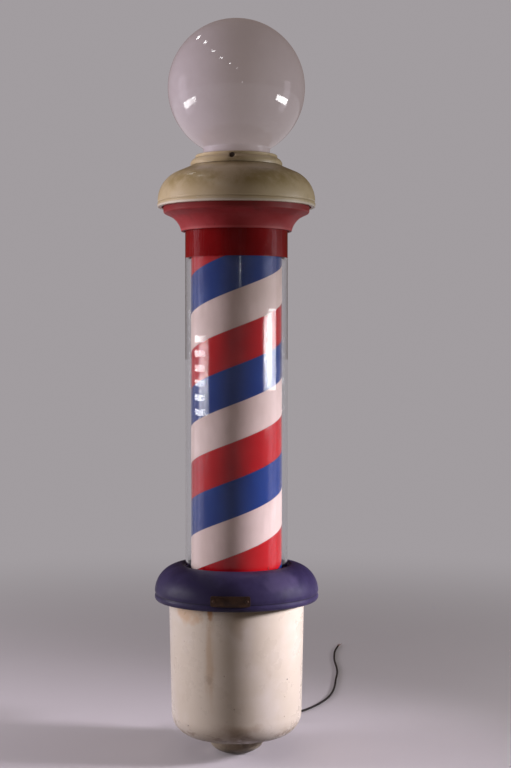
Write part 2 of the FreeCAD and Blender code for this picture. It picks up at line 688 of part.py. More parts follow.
# --- drive ----------------------------------------------------------------------------------------
def motor_plate():
    plate = disc(PLATE_R, PLATE_Z, PLATE_TOP_Z)
    holes = [disc(COLUMN_R + FIT, 230, 250), disc(9.2, 230, 250, SHAFT_X), disc(4.0, 230, 250, 0, 40)]
    holes += around(disc(2.6, 230, 250, SPACER_R), 3, 90.0)
    holes += [disc(2.1, 230, 250, MOTOR_X, y) for y in MOTOR_SCREWS_Y]
    return cut_all(plate, holes)


def plate_spacers():
    """Spacers between the motor plate and the collar's web."""
    return around(ring(6.0, 2.6, PLATE_TOP_Z, BOWL_TOP_Z, SPACER_R), 3, 90.0)


def plate_screws():
    shank = disc(2.5, PLATE_Z, BOWL_TOP_Z, SPACER_R)
    head = hexagon(8.0, PLATE_Z - 3.5, PLATE_Z, SPACER_R)
    return around(fused(head, shank), 3, 90.0)


def gear_motor():
    """Flat synchronous motor with its gearbox lid, two fixing ears and a boss round the output shaft."""
    can = turned((0, MOTOR_BOTTOM_Z), (MOTOR_R - 2, MOTOR_BOTTOM_Z), ((MOTOR_R - 0.6, MOTOR_BOTTOM_Z + 0.6),
                 (MOTOR_R, MOTOR_BOTTOM_Z + 2)), (MOTOR_R, PLATE_Z), (0, PLATE_Z))
    can.translate(FreeCAD.Vector(MOTOR_X, 0, 0))
    ears = block((MOTOR_X - 7, MOTOR_X + 7), (-40.0, 40.0), (PLATE_Z - 1.5, PLATE_Z))
    boss = disc(9.0, PLATE_Z, PLATE_TOP_Z + 1.5, SHAFT_X)
    tail_entry = block((MOTOR_X + 10, MOTOR_X + 30), (-7, 7), (MOTOR_BOTTOM_Z + 4, MOTOR_BOTTOM_Z + 14))
    holes = [disc(2.1, 230, 250, MOTOR_X, y) for y in MOTOR_SCREWS_Y]
    holes.append(disc(SHAFT_R + FIT, PLATE_Z - 18, 260, SHAFT_X))
    return cut_all(fused(can, ears, boss, tail_entry), holes)


def motor_screws():
    screws = []
    for y in MOTOR_SCREWS_Y:
        shank = disc(2.0, PLATE_Z - 1.5, PLATE_TOP_Z + 3, MOTOR_X, y)
        head = disc(3.6, PLATE_Z - 4.0, PLATE_Z - 1.5, MOTOR_X, y)
        screws.append(fused(shank, head))
    return screws


def motor_nuts():
    return [hex_nut(7.0, 2.05, PLATE_TOP_Z, PLATE_TOP_Z + 3, MOTOR_X, y) for y in MOTOR_SCREWS_Y]


def motor_shaft():
    shaft = disc(SHAFT_R, PLATE_Z - 17.8, 270.0, SHAFT_X)
    flat = block((SHAFT_X + SHAFT_R - 0.6, SHAFT_X + 5), (-5, 5), (248.0, 271.0))
    return shaft.cut(flat)


def pinion():
    """Small gear with a hub that takes a grub screw."""
    first_gap = math.pi / PINION_TEETH
    teeth = gear_face(PINION_TEETH, first_gap, GEAR_BOTTOM_Z - 0.5, SHAFT_X)
    wheel = teeth.extrude(FreeCAD.Vector(0, 0, GEAR_TOP_Z - GEAR_BOTTOM_Z + 1))
    hub = disc(7.5, 249.0, GEAR_BOTTOM_Z - 0.5, SHAFT_X)
    bore = disc(SHAFT_R + FIT, 240, 280, SHAFT_X)
    grub = rod_back(1.55, -9.0, -1.0, SHAFT_X, 254.0)
    return cut_all(fused(wheel, hub), [bore, grub])


def pinion_grub_screw():
    return rod_back(1.5, -7.3, -SHAFT_R - FIT, SHAFT_X, 254.0)


# --- wiring ---------------------------------------------------------------------------------------
def terminal_block():
    """Three-way screw connector on the bowl's floor."""
    floor = BOWL_FLOOR_Z + BOWL_WALL
    base = block((-18, 18), (28, 46), (floor, floor + 4))
    ways = [block((x - 5, x + 5), (30, 44), (floor + 4, floor + 16)) for x in WAYS_X]
    wells = [disc(2.6, floor + 10, floor + 20, x, WELL_Y) for x in WAYS_X]
    return cut_all(fused(base, *ways), wells)


def inner_leads():
    """Supply, motor and lamp leads, each ending at the terminal block."""
    top = BOWL_FLOOR_Z + BOWL_WALL + 11.0
    supply = [(31.09, 76.96, CORD_EXIT_Z), (28.1, 69.55, CORD_EXIT_Z), (23.0, 58.0, 64.0),
              (16.0, 45.0, 65.0), (WAYS_X[2], WELL_Y, 55.0), (WAYS_X[2], WELL_Y, top)]
    motor_exit = MOTOR_X + 30.0
    motor = [(motor_exit, 0.0, MOTOR_BOTTOM_Z + 9.0), (motor_exit + 5.0, 0.0, MOTOR_BOTTOM_Z + 9.0),
             (motor_exit + 7.5, 8.0, 209.0), (motor_exit + 5.0, 18.0, 192.0), (-15.5, 27.0, 150.0),
             (-14.0, 34.0, 105.0), (WAYS_X[0], WELL_Y, 66.0), (WAYS_X[0], WELL_Y, top)]
    lamp = [(0.0, 0.0, 876.0), (0.0, 0.3, 480.0), (0.0, 0.0, 84.0), (0.0, 1.5, 67.0), (0.0, 12.0, 61.0),
            (0.0, 25.0, 64.0), (WAYS_X[1], WELL_Y, 60.0), (WAYS_X[1], WELL_Y, top)]
    return [tube(supply, 1.6), tube(motor, 1.6), tube(lamp, 1.6)]


def strain_relief():
    """Rubber sleeve through the bowl's wall: a flange outside, a bead inside and a tapered nose."""
    nose = turned((0, 83.0), (6.2, 83.0), (6.2, 89.0), (RELIEF_NECK_R, 90.5), (RELIEF_NECK_R, 98.4),
                  (8.0, 98.4), (8.0, 100.6), ((6.0, 101.6), (4.4, 103.6)), (2.7, RELIEF_TIP_R),
                  (0, RELIEF_TIP_R))
    nose.rotate(AXIS, FreeCAD.Vector(0, 1, 0), 90.0)
    nose.translate(FreeCAD.Vector(0, 0, CORD_EXIT_Z))
    return turned_to(nose, CORD_DEG)


def bare_wire_ends():
    """Two stripped copper conductors that lie beside each other past the cord's cut end."""
    end = FreeCAD.Vector(*CORD_ROUTE[-1])
    along = (end - FreeCAD.Vector(*CORD_ROUTE[-2])).normalize()
    across = UP.cross(along)
    wires = []
    for side, splay in ((-1, 0.03), (1, 0.10)):
        start = end + across * (side * 0.8) + along * 0.05
        wires.append(Part.makeCylinder(WIRE_R, WIRE_LENGTH, start, along + across * (side * splay)))
    return wires


# --- wall brackets --------------------------------------------------------------------------------
def wall_plate(centre_z):
    plate = block((-BRACKET_WIDE / 2, BRACKET_WIDE / 2), (WALL_REACH - BRACKET_THICK, WALL_REACH),
                  (centre_z - BRACKET_HIGH / 2, centre_z + BRACKET_HIGH / 2))
    corners = [edge for edge in plate.Edges if abs(edge.tangentAt(edge.FirstParameter).y) > 0.9]
    return plate.makeFillet(8.0, corners)


def wall_bolt_holes(centre_z):
    return [rod_back(BOLT_HOLE_R, 130, 160, x, z) for x, z in bolt_places(centre_z)]


def arm(y_low, z_low, z_high):
    """Bar from the wall plate towards the pole, with its long edges eased."""
    bar = block((-ARM_WIDE / 2, ARM_WIDE / 2), (y_low, WALL_REACH - BRACKET_THICK), (z_low, z_high))
    long_edges = [edge for edge in bar.Edges if abs(edge.tangentAt(edge.FirstParameter).y) > 0.9]
    return bar.makeFillet(3.0, long_edges)


def lower_bracket():
    """Cast foot whose saddle fits the bowl's side and takes two screws from inside the bowl."""
    saddle = turned((0, 100), (bowl_radius(100) + 0.3, 100), (bowl_radius(230) + 0.3, 230), (0, 230))
    body = fused(wall_plate(LOWER_BOLTS_Z), arm(80.0, LOWER_BOLTS_Z - 27, LOWER_BOLTS_Z + 27)).cut(saddle)
    holes = [rod_back(3.0, 90, 118, 0, z) for z in LOWER_SCREW_LEVELS]
    return cut_all(body, wall_bolt_holes(LOWER_BOLTS_Z) + holes)


def upper_bracket():
    """Cast foot whose tongue lies under the holder's pad, behind the flare."""
    clear = turned((0, 770), (82.3, 770), *flare(0.3), (97.2, 798.2), (97.2, 810), (0, 810))
    body = fused(wall_plate(UPPER_BOLTS_Z), arm(80.0, 783.0, PAD_Z)).cut(clear)
    holes = [disc(2.2, 770, 810, x, TONGUE_SCREW_Y) for x in TONGUE_SCREWS_X]
    return cut_all(body, wall_bolt_holes(UPPER_BOLTS_Z) + holes)


def bracket_screws():
    screws = []
    for z in LOWER_SCREW_LEVELS:
        seat = bowl_radius(z) - BOWL_WALL - 0.3
        screws.append(fused(rod_back(5.0, seat - 4, seat, 0, z), rod_back(2.95, seat, 116.0, 0, z)))
    for x in TONGUE_SCREWS_X:
        shank = disc(2.0, 783.0, PAD_TOP_Z + 5, x, TONGUE_SCREW_Y)
        screws.append(fused(hexagon(7.0, 780.2, 783.0, x, TONGUE_SCREW_Y), shank))
    return screws


def bracket_nuts():
    return [hex_nut(7.0, 2.05, PAD_TOP_Z, PAD_TOP_Z + 3.2, x, TONGUE_SCREW_Y) for x in TONGUE_SCREWS_X]


# --- the nodes ------------------------------------------------------------------------------------
os.makedirs("parts", exist_ok=True)

save("bottom_boss", bottom_boss())
save("bowl", bowl())
save("bowl_washer", ring(24.0, COLUMN_R + 0.3, BOWL_FLOOR_Z + BOWL_WALL, BOWL_FLOOR_Z + BOWL_WALL + 2.5))
save("centre_column", column())
save("column_nuts", *column_nuts())
save("collar", collar())
save("nameplate", nameplate())
save("nameplate_rivets", *nameplate_rivets())

save("glass_gasket_lower", lower_gasket())
save("glass_cylinder", glass_cylinder())
save("glass_gasket_upper", upper_gasket())
save("red_band", red_band())
save("upper_holder", upper_holder())
save("holder_bridge", holder_bridge())

save("cap", cap())
save("cap_seat_ring", cap_seat())
save("globe_fitter", globe_fitter())
save("globe_screws", *globe_screws())
save("globe_gasket", globe_gasket())
save("globe", globe())
save("globe_lampholder", globe_lampholder())
save("lampholder_nut", holder_nut())
save("globe_lamp_base", lamp_base(13.2, COLUMN_TOP_Z + 12.5, 917.0))
save("globe_lamp", globe_lamp())

save("inner_lampholders", *inner_lampholders())
save("inner_lamp_bases", *inner_lamp_bases())
save("inner_lamps", *inner_lamps())

save("drum_shell", drum_shell())
save("drum_lower_spider", spider(274.0, 288.0, LOWER_HUB_Z, LOWER_HUB_TOP_Z, RIVET_LEVELS[0]))
save("drum_upper_spider", spider(744.0, 758.0, UPPER_HUB_Z, UPPER_HUB_TOP_Z, RIVET_LEVELS[1]))
save("drum_rivets", *drum_rivets())
save("drum_gear", drum_gear())
save("gear_screws", *gear_screws())
save("lower_bush", bush(257.9, LOWER_HUB_TOP_Z))
save("upper_bush", bush(UPPER_HUB_Z, UPPER_HUB_TOP_Z))
save("column_collars", *column_collars())
save("collar_grub_screws", *collar_grub_screws())
save("thrust_washer", thrust_washer())

save("motor_plate", motor_plate())
save("plate_spacers", *plate_spacers())
save("plate_screws", *plate_screws())
save("gear_motor", gear_motor())
save("motor_screws", *motor_screws())
save("motor_nuts", *motor_nuts())
save("motor_shaft", motor_shaft())
save("pinion", pinion())
save("pinion_grub_screw", pinion_grub_screw())

save("terminal_block", terminal_block())
save("inner_leads", *inner_leads())
save("cord_strain_relief", strain_relief())
save("power_cord", tube(CORD_ROUTE, CORD_R, "power_cord"))
save("bare_wire_ends", *bare_wire_ends())

save("upper_bracket", upper_bracket())
save("lower_bracket", lower_bracket())
save("bracket_screws", *bracket_screws())
save("bracket_nuts", *bracket_nuts())
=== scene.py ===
"""Barber pole light: the visible model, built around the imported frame.

The pole's turned shells are drawn as sections in millimetres above the bottom boss, turned about the
pole's axis and set into the frame. Everything rides on the body it is fixed to.
"""
import json
import math

import bpy
from mathutils import Matrix, Vector


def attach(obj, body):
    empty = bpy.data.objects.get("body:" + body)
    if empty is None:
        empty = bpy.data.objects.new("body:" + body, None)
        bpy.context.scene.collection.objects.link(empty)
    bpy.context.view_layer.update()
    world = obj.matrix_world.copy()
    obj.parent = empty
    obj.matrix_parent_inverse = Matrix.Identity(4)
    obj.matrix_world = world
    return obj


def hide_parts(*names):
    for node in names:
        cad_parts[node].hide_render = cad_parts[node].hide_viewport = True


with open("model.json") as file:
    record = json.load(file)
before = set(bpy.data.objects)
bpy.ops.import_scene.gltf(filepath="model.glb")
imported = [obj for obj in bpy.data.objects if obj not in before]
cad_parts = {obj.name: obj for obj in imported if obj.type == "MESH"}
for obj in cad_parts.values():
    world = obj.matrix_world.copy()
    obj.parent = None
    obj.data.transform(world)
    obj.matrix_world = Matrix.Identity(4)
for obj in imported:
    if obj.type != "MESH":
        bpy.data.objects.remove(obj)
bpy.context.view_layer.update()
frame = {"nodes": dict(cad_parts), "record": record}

MM = 0.001
AXIS = Vector((0.0, -0.150, 0.0))       # the pole's upright axis
ORIGIN_Z = 787.0                        # height of the frame's origin above the boss's underside, mm
FLOOR_Z = -ORIGIN_Z * MM
STEPS = 192                             # flats round a turned shell

BOWL_WAIST = (64.2, 61.0)               # centre of the curve that turns the bowl's side under
COLLAR_CREST = ((84.0, 281.5), (107.0, 273.0), (122.0, 243.0))
GLOBE_CENTRE = 988.3
GLOBE_R = 101.6
GLOBE_WALL = 3.0
PLATE_LEVEL = 244.85                    # middle of the nameplate
PLATE_TURN = -93.5                      # degrees from +X
PLATE_WIDE = 57.0
PLATE_TALL = 15.3
PLATE_THICK = 1.2
PLATE_GAP = 0.1                         # the nameplate's clearance over the paint
SCREW_LEVEL = 882.5                     # globe screws in the fitter ring
FIRST_SCREW = -95.0                     # degrees from +X


# --- camera ---------------------------------------------------------------------------------------------
def add_camera():
    """A long lens in front of the pole, near its middle and dipped a little."""
    lens = bpy.data.cameras.new("camera")
    lens.lens = 68.86
    lens.sensor_width = 36.0
    lens.clip_end = 100.0
    camera = bpy.data.objects.new("camera", lens)
    camera.location = (0.0283, -2.339, -0.179)
    camera.rotation_euler = (math.radians(90.0 - 1.52), 0.0, 0.0)
    bpy.context.scene.collection.objects.link(camera)
    bpy.context.scene.camera = camera


# --- the power cord --------------------------------------------------------------------------------------
CORD_R = 0.0018
LAY_Z = FLOOR_Z + 0.002
CORD_ROUTE = [
    (0.04570, -0.03688, -0.7270),
    (0.05076, -0.02437, -0.7270),
    (0.0566, -0.0100, -0.7335),
    (0.0618, 0.0020, -0.7475),
    (0.0664, 0.0136, -0.7645),
    (0.0724, 0.0280, -0.7785),
    (0.0810, 0.0460, LAY_Z),
    (0.0950, 0.0670, LAY_Z),
    (0.1150, 0.0915, LAY_Z),
    (0.1340, 0.1240, LAY_Z),
    (0.1510, 0.1640, LAY_Z),
    (0.1625, 0.2080, LAY_Z),
    (0.1695, 0.2570, LAY_Z),
    (0.1735, 0.3090, LAY_Z),
    (0.1800, 0.3630, LAY_Z),
    (0.1810, 0.4180, LAY_Z),
    (0.1795, 0.4700, LAY_Z),
    (0.1820, 0.5190, LAY_Z),
    (0.1860, 0.5640, LAY_Z),
    (0.1940, 0.6020, LAY_Z),
]


def curve_mesh(lines, radius):
    """The mesh of one smooth spline for each line of points: a round tube, or a bare line if radius is 0."""
    data = bpy.data.curves.new("route", "CURVE")
    data.dimensions = "3D"
    data.bevel_depth = radius
    data.bevel_resolution = 5
    data.resolution_u = 12
    data.use_fill_caps = True
    for line in lines:
        spline = data.splines.new("NURBS")
        spline.points.add(len(line) - 1)
        for point, place in zip(spline.points, line):
            point.co = (*place, 1.0)
        spline.order_u = 3
        spline.use_endpoint_u = True
    route = bpy.data.objects.new("route", data)
    mesh = bpy.data.meshes.new_from_object(route)
    bpy.data.curves.remove(data)
    return mesh


def tube_piece(name, lines, radius):
    mesh = curve_mesh(lines, radius)
    mesh.name = name
    piece = bpy.data.objects.new(name, mesh)
    bpy.context.scene.collection.objects.link(piece)
    return piece


def copper_strands():
    """Fine copper strands that fan out past the cord's cut end, in two twists."""
    end = Vector(CORD_ROUTE[-1])
    along = (end - Vector(CORD_ROUTE[-2])).normalized()
    across = Vector((-along.y, along.x, 0.0))
    lines = []
    for count in range(14):
        side = -1 if count % 2 else 1
        turn = count * 2.399
        root = end + across * (side * 0.0007 + 0.0003 * math.cos(turn)) - along * 0.001
        root += Vector((0, 0, 0.0003 * math.sin(turn)))
        reach = 0.0215 + 0.0012 * math.sin(count * 1.7) * 2
        splay = side * 0.05 + 0.13 * math.cos(turn)
        lift = 0.02 + 0.04 * math.sin(turn)
        tip = root + along * reach + across * (splay * reach) + Vector((0, 0, lift * reach))
        middle = root.lerp(tip, 0.5) + across * (-splay * 0.004) + Vector((0, 0, 0.0004))
        lines.append([root, root + along * 0.004, middle, tip])
    return tube_piece("copper_strands", lines, 0.00019)


add_camera()
cord = tube_piece("flex_cord", [CORD_ROUTE], CORD_R)
strands = copper_strands()
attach(cord, "pole")
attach(strands, "pole")
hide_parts("power_cord")
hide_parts("bare_wire_ends")
[list(vertex.co) for vertex in curve_mesh([CORD_ROUTE], 0.0).vertices]


# --- turning, cutting and finishing pieces ---------------------------------------------------------------
def circle_through(start, via, end):
    """Centre and radius of the circle through three points."""
    (ax, ay), (bx, by), (cx, cy) = start, via, end
    spread = 2 * (ax * (by - cy) + bx * (cy - ay) + cx * (ay - by))
    squares = ax * ax + ay * ay, bx * bx + by * by, cx * cx + cy * cy
    ox = (squares[0] * (by - cy) + squares[1] * (cy - ay) + squares[2] * (ay - by)) / spread
    oy = (squares[0] * (cx - bx) + squares[1] * (ax - cx) + squares[2] * (bx - ax)) / spread
    return ox, oy, math.hypot(ax - ox, ay - oy)


def arc(start, via, end):
    """Points along the circle through three points, in steps of about 2 mm that turn 3 to 9 degrees."""
    (ax, ay), (bx, by), (cx, cy) = start, via, end
    ox, oy, radius = circle_through(start, via, end)
    first = math.atan2(ay - oy, ax - ox)
    sweep = (math.atan2(cy - oy, cx - ox) - first) % (2 * math.pi)
    if (math.atan2(by - oy, bx - ox) - first) % (2 * math.pi) > sweep:
        sweep -= 2 * math.pi
    count = max(3, math.ceil(min(abs(sweep) * radius / 2.0, abs(sweep) / math.radians(3.0))),
                math.ceil(abs(sweep) / math.radians(9.0)))
    angles = [first + sweep * step / count for step in range(1, count)]
    return [(ox + radius * math.cos(a), oy + radius * math.sin(a)) for a in angles] + [end]


def outline(start, *steps):
    """A section in (radius, height): a step is a point, or a pair (via, end) for an arc."""
    points = [start]
    for step in steps:
        points += arc(points[-1], *step) if isinstance(step[0], tuple) else [step]
    return points


def select_only(piece):
    bpy.ops.object.select_all(action="DESELECT")
    piece.select_set(True)
    bpy.context.view_layer.objects.active = piece


def start_point(name):
    """A new piece of one vertex at the frame's origin, left open in edit mode."""
    bpy.ops.object.select_all(action="DESELECT")
    bpy.ops.mesh.primitive_plane_add(size=0.01)
    piece = bpy.context.object
    piece.name = piece.data.name = name
    bpy.ops.object.mode_set(mode="EDIT")
    bpy.ops.mesh.select_mode(type="VERT")
    bpy.ops.mesh.select_all(action="SELECT")
    bpy.ops.mesh.merge(type="CENTER")
    bpy.ops.mesh.select_all(action="SELECT")
    return piece


def finish_modifier(piece, kind, **values):
    """Adds one modifier with its values and applies it."""
    select_only(piece)
    modifier = piece.modifiers.new(kind.lower(), kind)
    for name, value in values.items():
        setattr(modifier, name, value)
    bpy.ops.object.modifier_apply(modifier=modifier.name)


def soften(piece, width, degrees=32.0, segments=2):
    """Rounds a piece's sharp edges by width in millimetres and smooths the rest."""
    if width:
        finish_modifier(piece, "BEVEL", width=width * MM, segments=segments, limit_method="ANGLE",
                        angle_limit=math.radians(degrees))
    select_only(piece)
    bpy.ops.object.shade_smooth_by_angle(angle=math.radians(degrees))
    finish_modifier(piece, "WEIGHTED_NORMAL", keep_sharp=True)


def turn(name, section, closed=True, edge=0.35):
    """Turns a section in millimetres about the pole's axis; an open one starts and ends on the axis."""
    piece = start_point(name)
    path = [AXIS + Vector((radius * MM, 0.0, (height - ORIGIN_Z) * MM)) for radius, height in section]
    bpy.ops.transform.translate(value=path[0])
    for here, there in zip(path, path[1:] + (path[:1] if closed else [])):
        bpy.ops.mesh.extrude_vertices_move(TRANSFORM_OT_translate={"value": there - here})
    bpy.ops.mesh.select_all(action="SELECT")
    bpy.ops.mesh.remove_doubles(threshold=1e-5)
    bpy.ops.mesh.select_all(action="SELECT")
    bpy.ops.mesh.spin(steps=STEPS, angle=2 * math.pi, center=AXIS, axis=(0.0, 0.0, 1.0))
    bpy.ops.mesh.select_all(action="SELECT")
    bpy.ops.mesh.remove_doubles(threshold=1e-6)
    bpy.ops.mesh.normals_make_consistent(inside=False)
    bpy.ops.object.mode_set(mode="OBJECT")
    soften(piece, edge)
    return piece


def settle(piece):
    """Moves a piece's place, turn and size into its mesh."""
    select_only(piece)
    bpy.ops.object.transform_apply(location=True, rotation=True, scale=True)


def cut_round_hole(piece, radius, inner, outer, height, degrees):
    """Cuts a round hole that runs straight out from the pole's axis, all in millimetres."""
    out = Matrix.Rotation(math.radians(degrees), 4, "Z")
    middle = AXIS + out @ Vector(((inner + outer) / 2 * MM, 0.0, 0.0))
    middle.z = (height - ORIGIN_Z) * MM
    bpy.ops.object.select_all(action="DESELECT")
    bpy.ops.mesh.primitive_cylinder_add(vertices=40, radius=radius * MM, depth=(outer - inner) * MM,
                                        location=middle, rotation=(0.0, math.pi / 2, math.radians(degrees)))
    drill = bpy.context.object
    finish_modifier(piece, "BOOLEAN", operation="DIFFERENCE", solver="EXACT", object=drill)
    bpy.data.objects.remove(drill)


def place_piece(piece, body, slot, node):
    """Rides a new piece on a body, in place of a CAD node, with the finish of a slot."""
    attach(piece, body)
    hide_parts(node)
    piece.data.materials.clear()
    piece.data.materials.append(FINISHES[slot])


# --- the shells ------------------------------------------------------------------------------------------
def bowl_curve(grow, degrees):
    """A point of the curve under the bowl's side, set out from the enamel by grow."""
    bend = math.radians(degrees)
    return (BOWL_WAIST[0] + (33.0 + grow) * math.cos(bend), BOWL_WAIST[1] - (33.0 + grow) * math.sin(bend))


BOSS = outline((0, 0), (14.0, 0.0), ((31.6, 5.5), (43.0, 20.0)), (43.0, 26.5), (8.05, 26.5), (8.05, 9.0),
               (0, 9.0))
BOWL = outline((101.4, 256.0), bowl_curve(0, 0), (bowl_curve(0, 40), bowl_curve(0, 80)), (55.0, 26.5),
               (8.3, 26.5), (8.3, 29.0), (55.0, 29.0), bowl_curve(-2.5, 80),
               (bowl_curve(-2.5, 40), bowl_curve(-2.5, 0)), (98.9, 256.0))
COLLAR = outline((77.2, 277.5), ((79.6, 280.8), COLLAR_CREST[0]), COLLAR_CREST[1:], (120.9, 239.4),
                 (120.9, 238.4), ((122.1, 234.6), (119.4, 229.5)), (116.6, 229.5), (118.4, 242.5),
                 ((104.2, 269.6), (86.0, 277.6)), (81.2, 276.2), (81.2, 260.0), (104.0, 260.0),
                 (104.0, 256.0), (98.2, 256.0), (98.2, 250.0), (95.2, 250.0), (95.2, 256.0), (71.0, 256.0),
                 (71.0, 260.0), (77.2, 260.0))
GLASS = outline((76.2, 263.0), (76.2, 790.0), (73.2, 790.0), (73.2, 263.0))
BAND = outline((73.3, 737.0), (73.3, 789.0), (72.1, 789.0), (72.1, 737.0))
HOLDER = outline((78.2, 776.5), (82.0, 776.5), ((86.0, 787.0), (96.2, 797.8)), (105.0, 802.0),
                 ((107.4, 803.5), (108.4, 806.0)), (108.4, 818.0), (105.4, 818.0), (105.4, 808.5),
                 ((104.6, 806.6), (103.0, 805.8)), (94.0, 802.0), (88.5, 797.0), (60.0, 797.0), (60.0, 793.0),
                 (78.2, 793.0))
CAP = outline((58.0, 876.0), (68.0, 872.6), (91.5, 862.4), ((107.4, 849.2), (116.8, 821.0)), (115.9, 820.0),
              (115.9, 819.2), (117.2, 817.6), (117.2, 813.4), ((116.9, 812.4), (116.0, 812.0)),
              (111.2, 812.0), (111.2, 814.2), (113.6, 814.6), (113.9, 821.4), ((104.8, 847.4), (90.4, 859.8)),
              (67.0, 870.2), (58.0, 873.2))
FITTER = outline((8.05, 865.0), (57.6, 865.0), (57.6, 876.4), (67.8, 873.0), (68.2, 876.5),
                 ((65.6, 881.4), (62.0, 883.6)), ((61.0, 885.0), (60.8, 887.6)),
                 ((60.0, 888.7), (58.6, 889.0)), (56.2, 889.0), ((54.9, 888.4), (54.5, 887.2)), (54.5, 868.0),
                 (8.05, 868.0))
DRUM = outline((67.6, 277.0), (67.6, 762.0), (66.2, 762.0), (66.2, 277.0))
MOUTH = GLOBE_CENTRE - math.sqrt(GLOBE_R ** 2 - 51.5 ** 2)
INNER_MOUTH = GLOBE_CENTRE - math.sqrt((GLOBE_R - GLOBE_WALL) ** 2 - 46.5 ** 2)
GLOBE_OUTSIDE = outline((46.5, 870.5), (51.6, 870.5), ((52.4, 872.5), (51.0, 874.5)), (49.5, 877.0),
                        (49.5, MOUTH - 3.0), ((50.0, MOUTH - 1.3), (51.5, MOUTH)),
                        ((GLOBE_R, GLOBE_CENTRE), (0.0, GLOBE_CENTRE + GLOBE_R)))
GLOBE_INSIDE = outline((0.0, GLOBE_CENTRE + GLOBE_R - GLOBE_WALL),
                       ((GLOBE_R - GLOBE_WALL, GLOBE_CENTRE), (46.5, INNER_MOUTH)))


def globe_ball():
    """The milk-glass ball: its section starts and ends on the axis at the crown, lip at the foot."""
    return turn("milk_glass_globe", GLOBE_INSIDE + GLOBE_OUTSIDE, closed=False, edge=0.3)


def upper_holder():
    """The red flare, with the pad at its back that the upper bracket's tongue meets."""
    flare = turn("red_flare", HOLDER, edge=0.0)
    bpy.ops.object.select_all(action="DESELECT")
    bpy.ops.mesh.primitive_cube_add(size=1.0, location=(0.0, AXIS.y + 98.5 * MM, (802.25 - ORIGIN_Z) * MM),
                                    scale=(36.0 * MM, 12.0 * MM, 8.5 * MM))
    pad = bpy.context.object
    finish_modifier(flare, "BOOLEAN", operation="UNION", solver="EXACT", object=pad)
    bpy.data.objects.remove(pad)
    soften(flare, 0.4)
    return flare


def slice_up(parts, across, length):
    """Cuts the piece that is open in edit mode into even strips, so that it can bend."""
    for count in range(1, parts):
        bpy.ops.mesh.select_all(action="SELECT")
        bpy.ops.mesh.bisect(plane_co=across * ((count / parts - 0.5) * length * MM), plane_no=across)


def nameplate():
    """A thin blank plate with rounded corners and a raised border, bent to the collar's round side."""
    bpy.ops.object.select_all(action="DESELECT")
    bpy.ops.mesh.primitive_plane_add(size=1.0)
    piece = bpy.context.object
    piece.name = piece.data.name = "blank_nameplate"
    bpy.ops.object.mode_set(mode="EDIT")
    bpy.ops.mesh.select_all(action="SELECT")
    bpy.ops.transform.resize(value=(PLATE_WIDE * MM, PLATE_TALL * MM, 1.0))
    bpy.ops.mesh.bevel(offset=3.0 * MM, segments=6, affect="VERTICES")
    bpy.ops.mesh.select_mode(type="FACE")
    bpy.ops.mesh.select_all(action="SELECT")
    bpy.ops.mesh.extrude_region_move(TRANSFORM_OT_translate={"value": (0.0, 0.0, PLATE_THICK * MM)})
    bpy.ops.mesh.inset(thickness=1.3 * MM, depth=0.0)
    bpy.ops.mesh.inset(thickness=0.35 * MM, depth=-0.35 * MM)
    slice_up(30, Vector((1.0, 0.0, 0.0)), PLATE_WIDE)
    slice_up(10, Vector((0.0, 1.0, 0.0)), PLATE_TALL)
    bpy.ops.mesh.select_all(action="SELECT")
    bpy.ops.mesh.normals_make_consistent(inside=False)
    bpy.ops.object.mode_set(mode="OBJECT")
    wrap_on_collar(piece, PLATE_LEVEL, PLATE_TURN)
    soften(piece, 0.12, 40.0)
    return piece


def wrap_on_collar(piece, level, degrees):
    """Lays a flat piece, drawn in X and Y with its back at Z 0, against the collar's round side."""
    centre_r, centre_z, curve = circle_through(*COLLAR_CREST)
    bend = math.radians(degrees)
    for vertex in piece.data.vertices:
        across, up, proud = (value / MM for value in vertex.co)
        height = level + up
        stand = curve + PLATE_GAP + proud
        radius = centre_r + math.sqrt(stand ** 2 - (height - centre_z) ** 2)
        angle = bend + math.asin(across / radius)
        place = Vector((radius * math.cos(angle), radius * math.sin(angle), height - ORIGIN_Z))
        vertex.co = AXIS + place * MM


# --- shader building -------------------------------------------------------------------------------------
def feed_node(tree, node, feeds):
    """Gives a node's sockets their values, or links them to other nodes' outputs."""
    for socket, value in feeds.items():
        if isinstance(value, bpy.types.NodeSocket):
            tree.links.new(value, node.inputs[socket])
        else:
            node.inputs[socket].default_value = value


def put(tree, kind, feeds=None, **settings):
    """Adds a node with its settings, then feeds its sockets."""
    node = tree.nodes.new(kind)
    for name, value in settings.items():
        setattr(node, name, value)
    feed_node(tree, node, feeds or {})
    return node


def sums(tree, operation, *values):
    return put(tree, "ShaderNodeMath", dict(enumerate(values)), operation=operation).outputs[0]


def blend(tree, factor, under, over):
    """Lays one colour over another by a mask."""
    return put(tree, "ShaderNodeMix", {0: factor, 6: under, 7: over}, data_type="RGBA").outputs[2]


def stain(tree, under, mask, strength, over):
    """Lays one colour over another by a mask, no more than strength thick."""
    return blend(tree, sums(tree, "MULTIPLY", mask, strength), under, over)


def span(tree, value, low, high, to_low=0.0, to_high=1.0):
    """A smooth step of a value from low to high."""
    feeds = {0: value, 1: low, 2: high, 3: to_low, 4: to_high}
    return put(tree, "ShaderNodeMapRange", feeds, interpolation_type="SMOOTHSTEP").outputs[0]


def object_place(tree):
    return put(tree, "ShaderNodeTexCoord").outputs["Object"]


def noise(tree, place, scale, detail, roughness=0.5):
    """Cloudy noise: its value first, then its colour."""
    feeds = {"Vector": place, "Scale": scale, "Detail": detail, "Roughness": roughness}
    return put(tree, "ShaderNodeTexNoise", feeds).outputs


